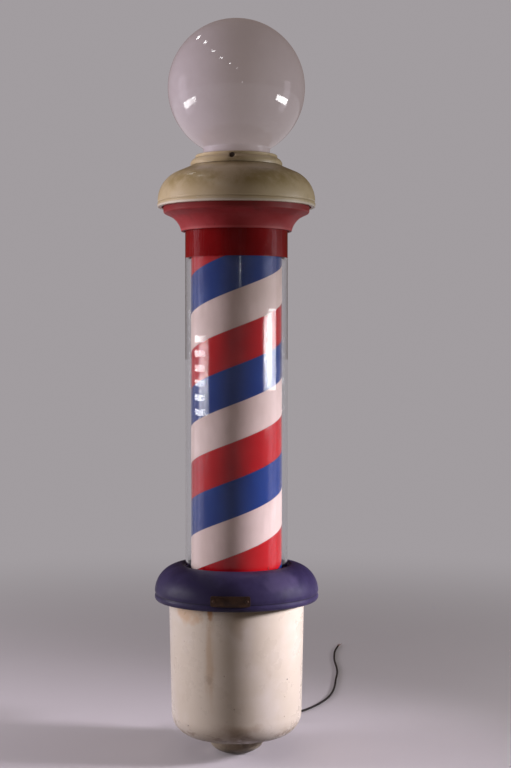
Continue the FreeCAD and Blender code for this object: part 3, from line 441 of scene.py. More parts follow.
def new_effect(name, inputs, outputs):
    """A new group of number sockets: gives its tree, and the sockets to read and to feed."""
    tree = bpy.data.node_groups.new(name, "ShaderNodeTree")
    for label, value in inputs.items():
        tree.interface.new_socket(label, in_out="INPUT", socket_type="NodeSocketFloat").default_value = value
    for label in outputs:
        tree.interface.new_socket(label, in_out="OUTPUT", socket_type="NodeSocketFloat")
    return tree, tree.nodes.new("NodeGroupInput").outputs, tree.nodes.new("NodeGroupOutput").inputs


def by_label(values):
    """The same values under their sockets' names, which have spaces for underscores."""
    return {label.replace("_", " "): value for label, value in values.items()}


def use(tree, effect, **values):
    """Places a shared effect in a tree and gives its mask or height."""
    return put(tree, "ShaderNodeGroup", by_label(values), node_tree=effect).outputs[0]


def make_pole_place():
    """Where a point is on the pole: degrees round from the front, to the right, and metres of height."""
    tree, _, result = new_effect("pole_place", {}, ["Turn", "Height"])
    axes = put(tree, "ShaderNodeSeparateXYZ", {0: object_place(tree)}).outputs
    forward = sums(tree, "SUBTRACT", AXIS.y, axes[1])
    turn_round = sums(tree, "ARCTAN2", axes[0], forward)
    tree.links.new(sums(tree, "DEGREES", turn_round), result["Turn"])
    tree.links.new(sums(tree, "SUBTRACT", axes[2], FLOOR_Z), result["Height"])
    return tree


def make_mottle():
    """Soft cloudy mask; Stretch above 1 squeezes it upright, below 1 draws it out into runs."""
    tree, given, result = new_effect("mottle", {
        "Scale": 40.0, "Stretch": 1.0, "Low": 0.45, "High": 0.65}, ["Mask"])
    axes = put(tree, "ShaderNodeSeparateXYZ", {0: object_place(tree)}).outputs
    drawn = sums(tree, "MULTIPLY", axes[2], given["Stretch"])
    squeezed = put(tree, "ShaderNodeCombineXYZ", {0: axes[0], 1: axes[1], 2: drawn}).outputs[0]
    cloud = noise(tree, squeezed, given["Scale"], 6.0, 0.62)[0]
    tree.links.new(span(tree, cloud, given["Low"], given["High"]), result["Mask"])
    return tree


def make_patch():
    """Soft patch on the pole at a turn and height, with a ragged edge."""
    tree, given, result = new_effect("patch", {
        "Turn": 0.0, "Height": 0.1, "Wide": 10.0, "Tall": 0.01, "Ragged": 0.5, "Grain": 200.0}, ["Mask"])
    place = use_place(tree)
    across = sums(tree, "DIVIDE", sums(tree, "SUBTRACT", place["Turn"], given["Turn"]), given["Wide"])
    up = sums(tree, "DIVIDE", sums(tree, "SUBTRACT", place["Height"], given["Height"]), given["Tall"])
    far = sums(tree, "SQRT", sums(tree, "ADD", sums(tree, "MULTIPLY", across, across),
                                  sums(tree, "MULTIPLY", up, up)))
    cloud = noise(tree, object_place(tree), given["Grain"], 4.0)[0]
    ragged = sums(tree, "MULTIPLY", sums(tree, "SUBTRACT", cloud, 0.5), given["Ragged"])
    tree.links.new(span(tree, sums(tree, "ADD", far, sums(tree, "MULTIPLY", ragged, 2.0)), 1.0, 0.25),
                   result["Mask"])
    return tree


def make_specks():
    """Small round specks, such as chips and fly marks: Rare from 0 to 1 leaves out more of them."""
    tree, given, result = new_effect("specks", {"Scale": 60.0, "Size": 0.12, "Rare": 0.6}, ["Mask"])
    place = object_place(tree)
    wobble = noise(tree, place, 900.0, 2.0)[1]
    shaken = put(tree, "ShaderNodeVectorMath", {0: wobble, 1: (0.0012, 0.0012, 0.0012)}, operation="MULTIPLY")
    moved = put(tree, "ShaderNodeVectorMath", {0: place, 1: shaken.outputs[0]}, operation="ADD").outputs[0]
    cells = put(tree, "ShaderNodeTexVoronoi", {"Vector": moved, "Scale": given["Scale"]})
    chance = put(tree, "ShaderNodeSeparateColor", {0: cells.outputs["Color"]}).outputs[0]
    chosen = sums(tree, "GREATER_THAN", chance, given["Rare"])
    size = sums(tree, "MULTIPLY", given["Size"], chance)
    near = span(tree, cells.outputs["Distance"], size, sums(tree, "MULTIPLY", size, 0.6))
    tree.links.new(sums(tree, "MULTIPLY", near, chosen), result["Mask"])
    return tree


def make_relief():
    """Height of a skin: slow dents and a fine peel, each with its own scale and depth in millimetres."""
    tree, given, result = new_effect("relief", {
        "Dents": 18.0, "Dent depth": 0.2, "Peel": 500.0, "Peel depth": 0.02}, ["Height"])
    place = object_place(tree)
    dents = noise(tree, place, given["Dents"], 2.0)[0]
    peel = noise(tree, place, given["Peel"], 3.0)[0]
    deep = sums(tree, "MULTIPLY", dents, given["Dent depth"])
    fine = sums(tree, "MULTIPLY", peel, given["Peel depth"])
    tree.links.new(sums(tree, "ADD", deep, fine), result["Height"])
    return tree


def use_place(tree):
    """The Turn and Height of the point that is shaded."""
    return put(tree, "ShaderNodeGroup", node_tree=POLE_PLACE).outputs


POLE_PLACE = make_pole_place()
MOTTLE = make_mottle()
PATCH = make_patch()
SPECKS = make_specks()
RELIEF = make_relief()


def new_material(name):
    material = bpy.data.materials.new(name)
    material.use_nodes = True
    tree = material.node_tree
    return material, tree, tree.nodes["Principled BSDF"]


def feed(tree, shader, **values):
    """Sets the shader's sockets."""
    feed_node(tree, shader, by_label(values))


def bumped(tree, height):
    """Turns a height in millimetres into a bumped normal."""
    return put(tree, "ShaderNodeBump", {"Height": height, "Strength": 1.0, "Distance": MM}).outputs[0]


def rgb(red, green, blue):
    return (red, green, blue, 1.0)


# --- finishes --------------------------------------------------------------------------------------------
def painted(name, colour, faded, grime, gloss, dents=18.0, dent_depth=0.25, peel=420.0, peel_depth=0.03,
            fade=(9.0, 0.42, 0.66), dirt=(30.0, 0.56, 0.78), coat=0.0, speck=(70.0, 0.10, 0.72)):
    """Old paint or enamel: faded in clouds, dirty in patches, with a few dark chips.

    Gives the material, its tree, shader and the colour reached, for marks of its own."""
    material, tree, shader = new_material(name)
    pale = use(tree, MOTTLE, Scale=fade[0], Low=fade[1], High=fade[2])
    colour = blend(tree, pale, colour, faded)
    fine = use(tree, MOTTLE, Scale=140.0, Low=0.3, High=0.8)
    colour = stain(tree, colour, fine, 0.10, faded)
    dirty = use(tree, MOTTLE, Scale=dirt[0], Stretch=0.5, Low=dirt[1], High=dirt[2])
    colour = stain(tree, colour, dirty, 0.5, grime)
    chips = use(tree, SPECKS, Scale=speck[0], Size=speck[1], Rare=speck[2])
    colour = stain(tree, colour, chips, 0.75, grime)
    rough = span(tree, use(tree, MOTTLE, Scale=25.0, Low=0.3, High=0.75), 0.0, 1.0, gloss, gloss + 0.16)
    height = use(tree, RELIEF, Dents=dents, Dent_depth=dent_depth, Peel=peel, Peel_depth=peel_depth)
    height = sums(tree, "SUBTRACT", height, sums(tree, "MULTIPLY", chips, 0.15))
    feed(tree, shader, Base_Color=colour, Roughness=rough, Normal=bumped(tree, height), Coat_Weight=coat,
         Coat_Roughness=0.12)
    return material, tree, shader, colour


def between(tree, value, low, high, soft):
    """Mask that is 1 while a value is between two levels, with soft shoulders."""
    rise = span(tree, value, low - soft, low + soft)
    fall = span(tree, value, high - soft, high + soft, 1.0, 0.0)
    return sums(tree, "MULTIPLY", rise, fall)


def bowl_enamel():
    """Off-white enamel with a rust run under the collar, tan stains and dirt round the lower edge."""
    material, tree, shader, colour = painted(
        "bowl_enamel", rgb(0.66, 0.59, 0.47), rgb(0.73, 0.67, 0.58), rgb(0.36, 0.26, 0.16), 0.26,
        dents=14.0, dent_depth=0.55, dirt=(30.0, 0.62, 0.85), coat=0.25)
    height = use_place(tree)["Height"]
    runs = use(tree, MOTTLE, Scale=60.0, Stretch=0.08, Low=0.42, High=0.62)
    tan = use(tree, PATCH, Turn=-44.0, Height=0.222, Wide=26.0, Tall=0.020, Ragged=0.9, Grain=60.0)
    colour = stain(tree, colour, tan, 0.6, rgb(0.58, 0.36, 0.17))
    rust = use(tree, PATCH, Turn=-21.5, Height=0.226, Wide=3.6, Tall=0.018, Ragged=0.45, Grain=150.0)
    colour = stain(tree, colour, rust, 0.9, rgb(0.42, 0.19, 0.05))
    trail = use(tree, PATCH, Turn=-22.5, Height=0.165, Wide=7.0, Tall=0.115, Ragged=0.5, Grain=60.0)
    colour = stain(tree, colour, sums(tree, "MULTIPLY", trail, runs), 0.45, rgb(0.48, 0.31, 0.15))
    second = use(tree, PATCH, Turn=2.0, Height=0.208, Wide=8.0, Tall=0.030, Ragged=0.7, Grain=60.0)
    colour = stain(tree, colour, second, 0.35, rgb(0.40, 0.29, 0.17))
    foot = between(tree, height, 0.024, 0.050, 0.012)
    mottled = use(tree, MOTTLE, Scale=45.0, Stretch=2.2, Low=0.46, High=0.66)
    colour = stain(tree, colour, sums(tree, "MULTIPLY", foot, mottled), 0.75, rgb(0.34, 0.24, 0.15))
    low_smear = use(tree, PATCH, Turn=4.0, Height=0.056, Wide=26.0, Tall=0.010, Ragged=1.1, Grain=55.0)
    colour = stain(tree, colour, low_smear, 0.4, rgb(0.40, 0.28, 0.17))
    scuff = use(tree, PATCH, Turn=-23.0, Height=0.128, Wide=5.0, Tall=0.010, Ragged=1.0, Grain=140.0)
    colour = stain(tree, colour, scuff, 0.45, rgb(0.36, 0.27, 0.18))
    chip = use(tree, PATCH, Turn=49.0, Height=0.122, Wide=0.95, Tall=0.0016, Ragged=0.25, Grain=700.0)
    low_chip = use(tree, PATCH, Turn=-46.0, Height=0.055, Wide=0.8, Tall=0.0013, Ragged=0.25, Grain=700.0)
    chipped = sums(tree, "MAXIMUM", chip, low_chip)
    colour = blend(tree, chipped, colour, rgb(0.07, 0.055, 0.05))
    feed(tree, shader, Base_Color=colour)
    return material


def cap_enamel():
    """Ivory enamel, yellowed, darker in the hollow by the fitter ring and olive over the crown, with painted
    shade in the step above the lower lip and a painted highlight along that lip.
    """
    material, tree, shader, colour = painted(
        "cap_enamel", rgb(0.55, 0.44, 0.25), rgb(0.61, 0.51, 0.33), rgb(0.20, 0.15, 0.06), 0.30,
        dents=20.0, dent_depth=0.30, coat=0.15, fade=(12.0, 0.38, 0.62))
    place = use_place(tree)
    # Darker, in ragged patches, in the hollow between the cap and the fitter ring.
    hollow = between(tree, place["Height"], 0.868, 0.8745, 0.005)
    ragged = use(tree, MOTTLE, Scale=55.0, Low=0.25, High=0.60)
    colour = stain(tree, colour, sums(tree, "MULTIPLY", hollow, ragged), 0.75, rgb(0.22, 0.16, 0.075))
    # Darker olive over the crown.
    crown = between(tree, place["Height"], 0.836, 0.866, 0.010)
    olive = use(tree, MOTTLE, Scale=22.0, Low=0.38, High=0.62)
    colour = stain(tree, colour, sums(tree, "MULTIPLY", crown, olive), 0.75, rgb(0.34, 0.25, 0.09))
    # Painted shade: a dark line in the thin step above the lower lip.
    groove_shade = between(tree, place["Height"], 0.8190, 0.8202, 0.0006)
    colour = stain(tree, colour, groove_shade, 0.3, rgb(0.16, 0.12, 0.08))
    # Painted highlight: a pale band along the cap's lower lip.
    rim_highlight = between(tree, place["Height"], 0.8115, 0.8150, 0.0010)
    colour = stain(tree, colour, rim_highlight, 0.6, rgb(0.78, 0.73, 0.64))
    feed(tree, shader, Base_Color=colour)
    return material


def collar_enamel():
    """Dark violet-blue paint on a casting: satin, scuffed pale along the crest and skirt, with painted light
    high on the right and painted shade in the step above the bead.
    """
    material, tree, shader, colour = painted(
        "collar_enamel", rgb(0.021, 0.016, 0.050), rgb(0.040, 0.032, 0.084), rgb(0.014, 0.012, 0.022), 0.40,
        dents=26.0, dent_depth=0.35, peel=320.0, peel_depth=0.06, fade=(14.0, 0.40, 0.70))
    height = use_place(tree)["Height"]
    scratch = use(tree, MOTTLE, Scale=260.0, Stretch=6.0, Low=0.60, High=0.72)
    bead = between(tree, height, 0.2335, 0.2375, 0.0012)
    crest = between(tree, height, 0.278, 0.283, 0.004)
    worn = sums(tree, "MULTIPLY", scratch, sums(tree, "MAXIMUM", bead, crest))
    colour = stain(tree, colour, worn, 0.6, rgb(0.16, 0.14, 0.27))
    # Painted light: a paler copy of the paint high on the right side, where the right lamp falls.
    dust_and_painted_light = use(tree, PATCH, Turn=35.0, Height=0.268, Wide=24.0, Tall=0.016, Ragged=0.8, Grain=50.0)
    colour = stain(tree, colour, dust_and_painted_light, 0.45, rgb(0.095, 0.078, 0.150))
    # Painted shade: a dark line in the thin step above the lower bead.
    groove_shade = between(tree, height, 0.2384, 0.2396, 0.0006)
    colour = stain(tree, colour, groove_shade, 0.8, rgb(0.010, 0.009, 0.018))
    feed(tree, shader, Base_Color=colour, Specular_IOR_Level=0.3)
    return material


def holder_enamel():
    """Red enamel faded to a dull rose on the flare, darker under the cap."""
    material, tree, shader, colour = painted(
        "holder_enamel", rgb(0.28, 0.022, 0.025), rgb(0.33, 0.035, 0.039), rgb(0.10, 0.016, 0.013), 0.42,
        dents=30.0, dent_depth=0.18, fade=(16.0, 0.38, 0.62))
    height = use_place(tree)["Height"]
    lip = between(tree, height, 0.7765, 0.7795, 0.0015)
    colour = stain(tree, colour, lip, 0.35, rgb(0.55, 0.13, 0.13))
    shade = between(tree, height, 0.803, 0.830, 0.004)
    colour = stain(tree, colour, shade, 0.45, rgb(0.14, 0.018, 0.014))
    feed(tree, shader, Base_Color=colour, Specular_IOR_Level=0.25)
    return material


def boss_enamel():
    """Worn cream enamel, with painted shade darkening its underside next to the floor."""
    material, tree, shader, colour = painted(
        "boss_enamel", rgb(0.42, 0.36, 0.26), rgb(0.55, 0.48, 0.37), rgb(0.10, 0.075, 0.05), 0.38,
        dents=40.0, dent_depth=0.25, fade=(30.0, 0.40, 0.62), dirt=(60.0, 0.48, 0.70))
    height = use_place(tree)["Height"]
    # Painted shade: the lowest few millimetres of the boss, next to the floor, darkened.
    foot = between(tree, height, -0.002, 0.008, 0.005)
    colour = stain(tree, colour, foot, 0.7, rgb(0.10, 0.085, 0.06))
    feed(tree, shader, Base_Color=colour)
    return material


STRIPE_LEAD = 0.1646                    # height of one full turn of the three stripes
STRIPE_START = 0.6883                   # height of a blue stripe's lower edge at the front


def striped_drum():
    """Three stripes that climb to the right: glossy red and blue film over a dull off-white ground."""
    material, tree, shader = new_material("striped_drum")
    place = use_place(tree)
    climb = sums(tree, "DIVIDE", sums(tree, "SUBTRACT", place["Height"], STRIPE_START), STRIPE_LEAD)
    phase = sums(tree, "FRACT", sums(tree, "SUBTRACT", climb, sums(tree, "DIVIDE", place["Turn"], 360.0)))
    is_white = sums(tree, "GREATER_THAN", phase, 2 / 3)
    is_red = sums(tree, "SUBTRACT", sums(tree, "GREATER_THAN", phase, 1 / 3), is_white)
    cloud = use(tree, MOTTLE, Scale=16.0, Low=0.35, High=0.68)
    fine = use(tree, MOTTLE, Scale=110.0, Stretch=0.35, Low=0.40, High=0.75)
    blue = blend(tree, cloud, rgb(0.011, 0.038, 0.190), rgb(0.016, 0.052, 0.230))
    red = blend(tree, cloud, rgb(0.43, 0.005, 0.009), rgb(0.51, 0.011, 0.014))
    white = blend(tree, cloud, rgb(0.69, 0.54, 0.47), rgb(0.76, 0.61, 0.54))
    white = stain(tree, white, fine, 0.18, rgb(0.46, 0.36, 0.28))
    colour = blend(tree, is_red, blue, red)
    colour = blend(tree, is_white, colour, white)
    third = sums(tree, "FRACT", sums(tree, "ADD", sums(tree, "MULTIPLY", phase, 3.0), 0.5))
    from_edge = sums(tree, "ABSOLUTE", sums(tree, "SUBTRACT", third, 0.5))
    seam = span(tree, from_edge, 0.006, 0.002)
    colour = stain(tree, colour, seam, 0.45, rgb(0.05, 0.025, 0.045))
    specks = use(tree, SPECKS, Scale=75.0, Size=0.055, Rare=0.8)
    colour = stain(tree, colour, specks, 0.5, rgb(0.16, 0.10, 0.07))
    film = sums(tree, "SUBTRACT", 1.0, is_white)
    rough = sums(tree, "ADD", sums(tree, "SUBTRACT", 0.62, sums(tree, "MULTIPLY", film, 0.50)),
                 sums(tree, "MULTIPLY", fine, 0.06))
    step = sums(tree, "MULTIPLY", film, 0.06)
    skin = use(tree, RELIEF, Dents=9.0, Dent_depth=0.30, Peel=260.0, Peel_depth=0.012)
    feed(tree, shader, Base_Color=colour, Roughness=rough, Normal=bumped(tree, sums(tree, "ADD", step, skin)))
    return material


def band_red():
    """Deep red paint with darker runs down it."""
    material, tree, shader = new_material("band_red")
    cloud = use(tree, MOTTLE, Scale=20.0, Low=0.35, High=0.70)
    colour = blend(tree, cloud, rgb(0.19, 0.003, 0.004), rgb(0.24, 0.005, 0.006))
    runs = use(tree, MOTTLE, Scale=120.0, Stretch=0.1, Low=0.45, High=0.75)
    colour = stain(tree, colour, runs, 0.25, rgb(0.12, 0.003, 0.004))
    rough = span(tree, runs, 0.0, 1.0, 0.22, 0.36)
    feed(tree, shader, Base_Color=colour, Roughness=rough, Specular_IOR_Level=0.1,
         Normal=bumped(tree, use(tree, RELIEF, Dents=40.0, Dent_depth=0.05, Peel=300.0, Peel_depth=0.01)))
    return material


def milk_glass():
    """Opal glass: even white with a painted glow standing in for light scattered through it, a hard gloss,
    faint haze and a few dusty specks.
    """
    material, tree, shader = new_material("milk_glass")
    cloud = use(tree, MOTTLE, Scale=8.0, Low=0.35, High=0.70)
    colour = blend(tree, cloud, rgb(0.33, 0.30, 0.32), rgb(0.37, 0.34, 0.36))
    specks = use(tree, SPECKS, Scale=45.0, Size=0.03, Rare=0.8)
    colour = stain(tree, colour, specks, 0.4, rgb(0.35, 0.30, 0.28))
    rough = span(tree, use(tree, MOTTLE, Scale=30.0, Low=0.35, High=0.75), 0.0, 1.0, 0.05, 0.10)
    # The emission is painted glow: it stands in for lamp light scattered through the opal glass.
    feed(tree, shader, Base_Color=colour, Roughness=rough, Subsurface_Weight=0.3, Subsurface_Scale=0.01,
         Emission_Color=rgb(0.62, 0.50, 0.49), Emission_Strength=0.24,
         Normal=bumped(tree, use(tree, RELIEF, Dents=12.0, Dent_depth=0.12, Peel=200.0, Peel_depth=0.0)))
    shader.inputs["Subsurface Radius"].default_value = (1.0, 0.9, 0.85)
    return material


def pass_light(tree, shader, tint):
    """Lets lamps and soft light straight through a glass wall, so what is inside is lit."""
    ray = put(tree, "ShaderNodeLightPath").outputs
    through = sums(tree, "MAXIMUM", ray["Is Shadow Ray"], ray["Is Diffuse Ray"])
    clear = put(tree, "ShaderNodeBsdfTransparent", {0: tint})
    mix = put(tree, "ShaderNodeMixShader", {0: through, 1: shader.outputs[0], 2: clear.outputs[0]})
    tree.links.new(mix.outputs[0], tree.nodes["Material Output"].inputs["Surface"])


def clear_glass():
    """Clear glass with a faint upright haze and little shine of its own."""
    material, tree, shader = new_material("clear_glass")
    haze = use(tree, MOTTLE, Scale=35.0, Stretch=0.3, Low=0.50, High=0.80)
    rough = span(tree, haze, 0.0, 1.0, 0.0, 0.03)
    feed(tree, shader, Base_Color=rgb(0.95, 0.95, 0.96), Roughness=rough, Transmission_Weight=1.0, IOR=1.48,
         Specular_Tint=rgb(0.06, 0.06, 0.065))
    pass_light(tree, shader, rgb(0.93, 0.94, 0.95))
    return material


def frosted_glass():
    """Etched glass of a lamp bulb."""
    material, tree, shader = new_material("frosted_glass")
    cloud = use(tree, MOTTLE, Scale=60.0, Low=0.40, High=0.70)
    colour = blend(tree, cloud, rgb(0.80, 0.80, 0.79), rgb(0.74, 0.73, 0.70))
    feed(tree, shader, Base_Color=colour, Roughness=span(tree, cloud, 0.0, 1.0, 0.32, 0.48),
         Transmission_Weight=0.35, Normal=bumped(tree, use(tree, RELIEF, Dent_depth=0.0, Peel=1500.0)))
    return material


def metal(name, colour, worn, tarnish, gloss, grain=(300.0, 1.0), metallic=1.0):
    """Bare or plated metal: brushed or cast grain, brighter rubbed patches and tarnish in clouds."""
    material, tree, shader = new_material(name)
    rubbed = use(tree, MOTTLE, Scale=70.0, Low=0.45, High=0.65)
    colour = blend(tree, rubbed, colour, worn)
    dull = use(tree, MOTTLE, Scale=34.0, Low=0.44, High=0.68)
    colour = stain(tree, colour, dull, 0.6, tarnish)
    lines = use(tree, MOTTLE, Scale=grain[0], Stretch=grain[1], Low=0.30, High=0.70)
    rough = span(tree, dull, 0.0, 1.0, gloss, gloss + 0.22)
    rough = sums(tree, "ADD", rough, sums(tree, "MULTIPLY", lines, 0.08))
    height = sums(tree, "ADD", sums(tree, "MULTIPLY", lines, 0.015),
                  use(tree, RELIEF, Dents=60.0, Dent_depth=0.03, Peel=900.0, Peel_depth=0.01))
    metalness = span(tree, dull, 0.0, 1.0, metallic, metallic - 0.25)
    feed(tree, shader, Base_Color=colour, Roughness=rough, Metallic=metalness, Normal=bumped(tree, height))
    return material


def moulded(name, colour, scuffed, gloss, peel=600.0, depth=0.03):
    """Rubber, plastic or porcelain: a moulded skin, rubbed dull here and there, dusty in clouds."""
    material, tree, shader = new_material(name)
    rubbed = use(tree, MOTTLE, Scale=45.0, Low=0.42, High=0.70)
    colour = blend(tree, rubbed, colour, scuffed)
    dust_and_painted_light = use(tree, MOTTLE, Scale=220.0, Low=0.55, High=0.80)
    colour = stain(tree, colour, dust_and_painted_light, 0.25, scuffed)
    feed(tree, shader, Base_Color=colour, Roughness=span(tree, rubbed, 0.0, 1.0, gloss, gloss + 0.15),
         Normal=bumped(tree, use(tree, RELIEF, Dents=50.0, Dent_depth=0.04, Peel=peel, Peel_depth=depth)))
    return material


def bronze_plate():
    """Old bronze, brown all over and rubbed to metal in small spots."""
    material, tree, shader = new_material("bronze")
    dull = use(tree, MOTTLE, Scale=90.0, Low=0.35, High=0.65)
    colour = blend(tree, dull, rgb(0.042, 0.023, 0.017), rgb(0.080, 0.044, 0.028))
    spots = use(tree, MOTTLE, Scale=320.0, Low=0.62, High=0.74)
    colour = stain(tree, colour, spots, 0.5, rgb(0.18, 0.10, 0.05))
    feed(tree, shader, Base_Color=colour, Roughness=span(tree, dull, 0.0, 1.0, 0.34, 0.52),
         Metallic=span(tree, spots, 0.0, 1.0, 0.55, 0.9),
         Normal=bumped(tree, use(tree, RELIEF, Dents=120.0, Dent_depth=0.06, Peel=1400.0, Peel_depth=0.015)))
    return material


FINISHES = {
    "boss_enamel": boss_enamel(),
    "bowl_enamel": bowl_enamel(),
    "collar_enamel": collar_enamel(),
    "holder_enamel": holder_enamel(),
    "cap_enamel": cap_enamel(),
    "striped_drum": striped_drum(),
    "band_red": band_red(),
    "milk_glass": milk_glass(),
    "clear_glass": clear_glass(),
    "frosted_glass": frosted_glass(),
    "bronze": bronze_plate(),
    "plated_steel": metal("plated_steel", rgb(0.50, 0.49, 0.46), rgb(0.66, 0.65, 0.62),
                          rgb(0.25, 0.22, 0.17), 0.26),
    "brass": metal("brass", rgb(0.55, 0.38, 0.14), rgb(0.72, 0.53, 0.24), rgb(0.23, 0.15, 0.07), 0.22),
    "dark_steel": metal("dark_steel", rgb(0.085, 0.080, 0.078), rgb(0.19, 0.18, 0.17),
                        rgb(0.10, 0.06, 0.04), 0.38, metallic=0.9),
    "aluminium": metal("aluminium", rgb(0.62, 0.62, 0.61), rgb(0.74, 0.74, 0.73), rgb(0.38, 0.37, 0.35), 0.30,
                       grain=(160.0, 1.0)),
    "copper": metal("copper", rgb(0.68, 0.25, 0.11), rgb(0.82, 0.38, 0.19), rgb(0.34, 0.12, 0.05), 0.26,
                    grain=(900.0, 0.2)),
    "bracket_paint": painted("bracket_paint", rgb(0.055, 0.055, 0.058), rgb(0.10, 0.10, 0.105),
                             rgb(0.19, 0.085, 0.04), 0.42, dents=40.0, dent_depth=0.25, peel=260.0,
                             peel_depth=0.07, dirt=(38.0, 0.52, 0.66))[0],
    "motor_paint": painted("motor_paint", rgb(0.10, 0.115, 0.12), rgb(0.16, 0.175, 0.18),
                           rgb(0.06, 0.05, 0.04), 0.40)[0],
    "black_rubber": moulded("black_rubber", rgb(0.020, 0.019, 0.019), rgb(0.060, 0.056, 0.054), 0.58),
    "dark_plastic": moulded("dark_plastic", rgb(0.035, 0.030, 0.028), rgb(0.075, 0.065, 0.060), 0.30),
    "white_plastic": moulded("white_plastic", rgb(0.68, 0.66, 0.58), rgb(0.56, 0.53, 0.45), 0.34),
    "porcelain": moulded("porcelain", rgb(0.78, 0.76, 0.72), rgb(0.66, 0.63, 0.57), 0.12, depth=0.008),
    "lead_insulation": moulded("lead_insulation", rgb(0.10, 0.09, 0.085), rgb(0.17, 0.15, 0.14), 0.45),
    "cord_sheath": moulded("cord_sheath", rgb(0.016, 0.014, 0.015), rgb(0.045, 0.038, 0.036), 0.38,
                           depth=0.02),
}


# --- building and placing --------------------------------------------------------------------------------
collar = turn("cast_collar", COLLAR)
fitter = turn("fitter_ring", FITTER, edge=0.5)
for third in range(3):
    cut_round_hole(fitter, 2.6, 50.0, 72.0, SCREW_LEVEL, FIRST_SCREW + third * 120.0)
    cut_round_hole(fitter, 4.2, 59.6, 72.0, SCREW_LEVEL, FIRST_SCREW + third * 120.0)
soften(fitter, 0.0)

place_piece(turn("boss_cup", BOSS, closed=False), "pole", "boss_enamel", "bottom_boss")
place_piece(turn("enamel_bowl", BOWL), "pole", "bowl_enamel", "bowl")
place_piece(collar, "pole", "collar_enamel", "collar")
place_piece(nameplate(), "pole", "bronze", "nameplate")
place_piece(turn("glass_tube", GLASS, edge=0.5), "pole", "clear_glass", "glass_cylinder")
place_piece(turn("inner_red_band", BAND, edge=0.0), "pole", "band_red", "red_band")
place_piece(upper_holder(), "pole", "holder_enamel", "upper_holder")
place_piece(turn("ivory_cap", CAP, edge=0.3), "pole", "cap_enamel", "cap")
place_piece(fitter, "pole", "cap_enamel", "globe_fitter")
place_piece(globe_ball(), "pole", "milk_glass", "globe")
place_piece(turn("striped_tube", DRUM, edge=0.2), "drum", "striped_drum", "drum_shell")
cord.data.materials.append(FINISHES["cord_sheath"])
strands.data.materials.append(FINISHES["copper"])

PAINTED_OVER = {"drum_rivets": "striped_drum"}      # the stripes run over the rivets' heads

for subpart in frame["record"]["subparts"]:
    finish = PAINTED_OVER.get(subpart["node"], subpart["material_slot"])
    for held in frame["nodes"][subpart["node"]].material_slots:
        held.material = FINISHES[finish]


# --- floor, sky and lamps --------------------------------------------------------------------------------
BACKDROP = (0.36, 0.335, 0.35, 1.0)
FLOOR_BLEND = (0.4, 2.2)                # metres from the frame's origin, from paper to backdrop


def add_floor():
    """A wide pale floor that fades into the backdrop's colour, so there is no horizon."""
    bpy.ops.object.select_all(action="DESELECT")
    bpy.ops.mesh.primitive_circle_add(vertices=128, radius=60.0, fill_type="NGON",
                                      location=(0.0, 0.0, FLOOR_Z))
    floor = bpy.context.object
    floor.name = "studio_floor"
    settle(floor)
    material, tree, shader = new_material("studio_paper")
    cloud = use(tree, MOTTLE, Scale=1.2, Low=0.3, High=0.7)
    colour = blend(tree, cloud, rgb(0.62, 0.59, 0.61), rgb(0.65, 0.62, 0.64))
    feed(tree, shader, Base_Color=colour, Roughness=0.85)
    away = put(tree, "ShaderNodeVectorMath", {0: object_place(tree)}, operation="LENGTH").outputs["Value"]
    far = span(tree, away, *FLOOR_BLEND)
    even = put(tree, "ShaderNodeEmission", {0: BACKDROP})
    mix = put(tree, "ShaderNodeMixShader", {0: far, 1: shader.outputs[0], 2: even.outputs[0]})
    tree.links.new(mix.outputs[0], tree.nodes["Material Output"].inputs["Surface"])
    floor.data.materials.append(material)
    floor.visible_diffuse = False


def add_sky(seen, glow, strength):
    """A plain backdrop for the eye and a dimmer room for everything that it lights."""
    world = bpy.data.worlds.new("studio_sky")
    world.use_nodes = True
    tree = world.node_tree
    ray = put(tree, "ShaderNodeLightPath").outputs
    straight = sums(tree, "MAXIMUM", ray["Is Camera Ray"], ray["Is Transmission Ray"])
    room = put(tree, "ShaderNodeBackground", {0: glow, 1: strength})
    backdrop = put(tree, "ShaderNodeBackground", {0: seen, 1: 1.0})
    mix = put(tree, "ShaderNodeMixShader", {0: straight, 1: room.outputs[0], 2: backdrop.outputs[0]})
    tree.links.new(mix.outputs[0], tree.nodes["World Output"].inputs["Surface"])
    bpy.context.scene.world = world


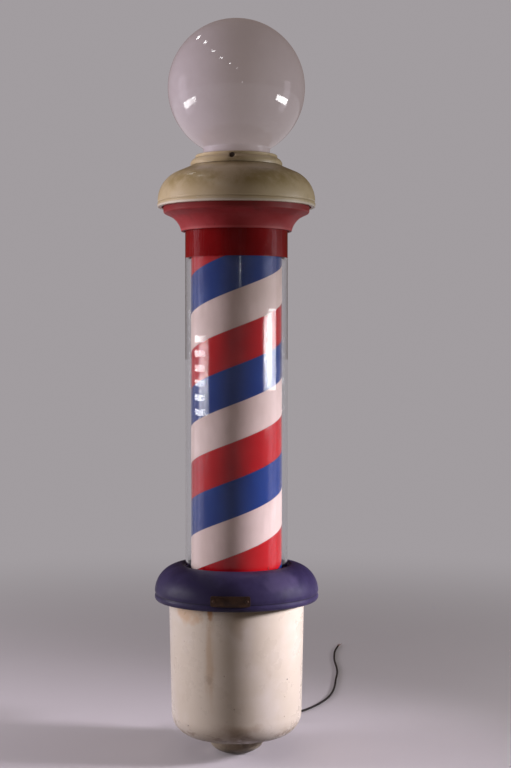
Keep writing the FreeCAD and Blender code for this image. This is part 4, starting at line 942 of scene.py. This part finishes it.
def add_panel(name, place, level, wide, tall, power, colour=(1.0, 1.0, 1.0), mirrored=True, spread=180.0):
    """A rectangular lamp that faces the pole's axis at a level; mirrored ones show in glossy surfaces."""
    lamp = bpy.data.lights.new(name, "AREA")
    lamp.shape = "RECTANGLE"
    lamp.size = wide
    lamp.size_y = tall
    lamp.energy = power
    lamp.color = colour
    lamp.spread = math.radians(spread)
    panel = bpy.data.objects.new(name, lamp)
    panel.location = place
    facing = Vector((0.0, AXIS.y, level)) - Vector(place)
    panel.rotation_euler = facing.to_track_quat("-Z", "Y").to_euler()
    panel.visible_camera = False
    panel.visible_glossy = mirrored
    panel.visible_transmission = mirrored
    bpy.context.scene.collection.objects.link(panel)


CEILING_LAMPS = ((-0.95, 0.70), (-0.95, -0.09), (-0.94, -0.92), (-0.80, -1.65), (-0.45, -2.5), (0.10, -3.6))
COOL = (0.96, 0.86, 1.0)
BEAD_PITCH = 0.036

add_floor()
add_sky(BACKDROP, rgb(1.0, 0.62, 0.40), 0.055)
add_panel("key_right", (1.30, -0.32, -0.20), -0.56, 0.22, 0.18, 1.95, COOL, False, 46.0)
add_panel("key_left", (-2.2, -0.27, -0.05), -0.25, 0.9, 1.7, 40.0, COOL, False)
add_panel("sheen_right", (1.95, -0.05, -0.30), -0.30, 0.5, 1.6, 2.6, COOL)
add_panel("sheen_left", (-1.95, 0.15, -0.20), -0.20, 0.7, 1.8, 3.0, COOL)
add_panel("bright_right", (1.494, -0.28, -0.19), -0.19, 0.70, 0.20, 9.0)
for bead in range(6):
    drop = bead * BEAD_PITCH
    add_panel(f"bright_left_{bead}", (-1.499, -0.20, -0.164 - drop), -0.164 - drop, 0.85, 0.016, 0.9)
    add_panel(f"far_bead_{bead}", (0.834, -5.08, 0.29 - drop), -0.07, 0.03, 0.014, 0.12)
for number, (across, along) in enumerate(CEILING_LAMPS):
    add_panel(f"ceiling_{number}", (across, along, 1.60), 0.2, 0.16, 0.09, 0.6)
bpy.context.scene.view_settings.view_transform = "Standard"
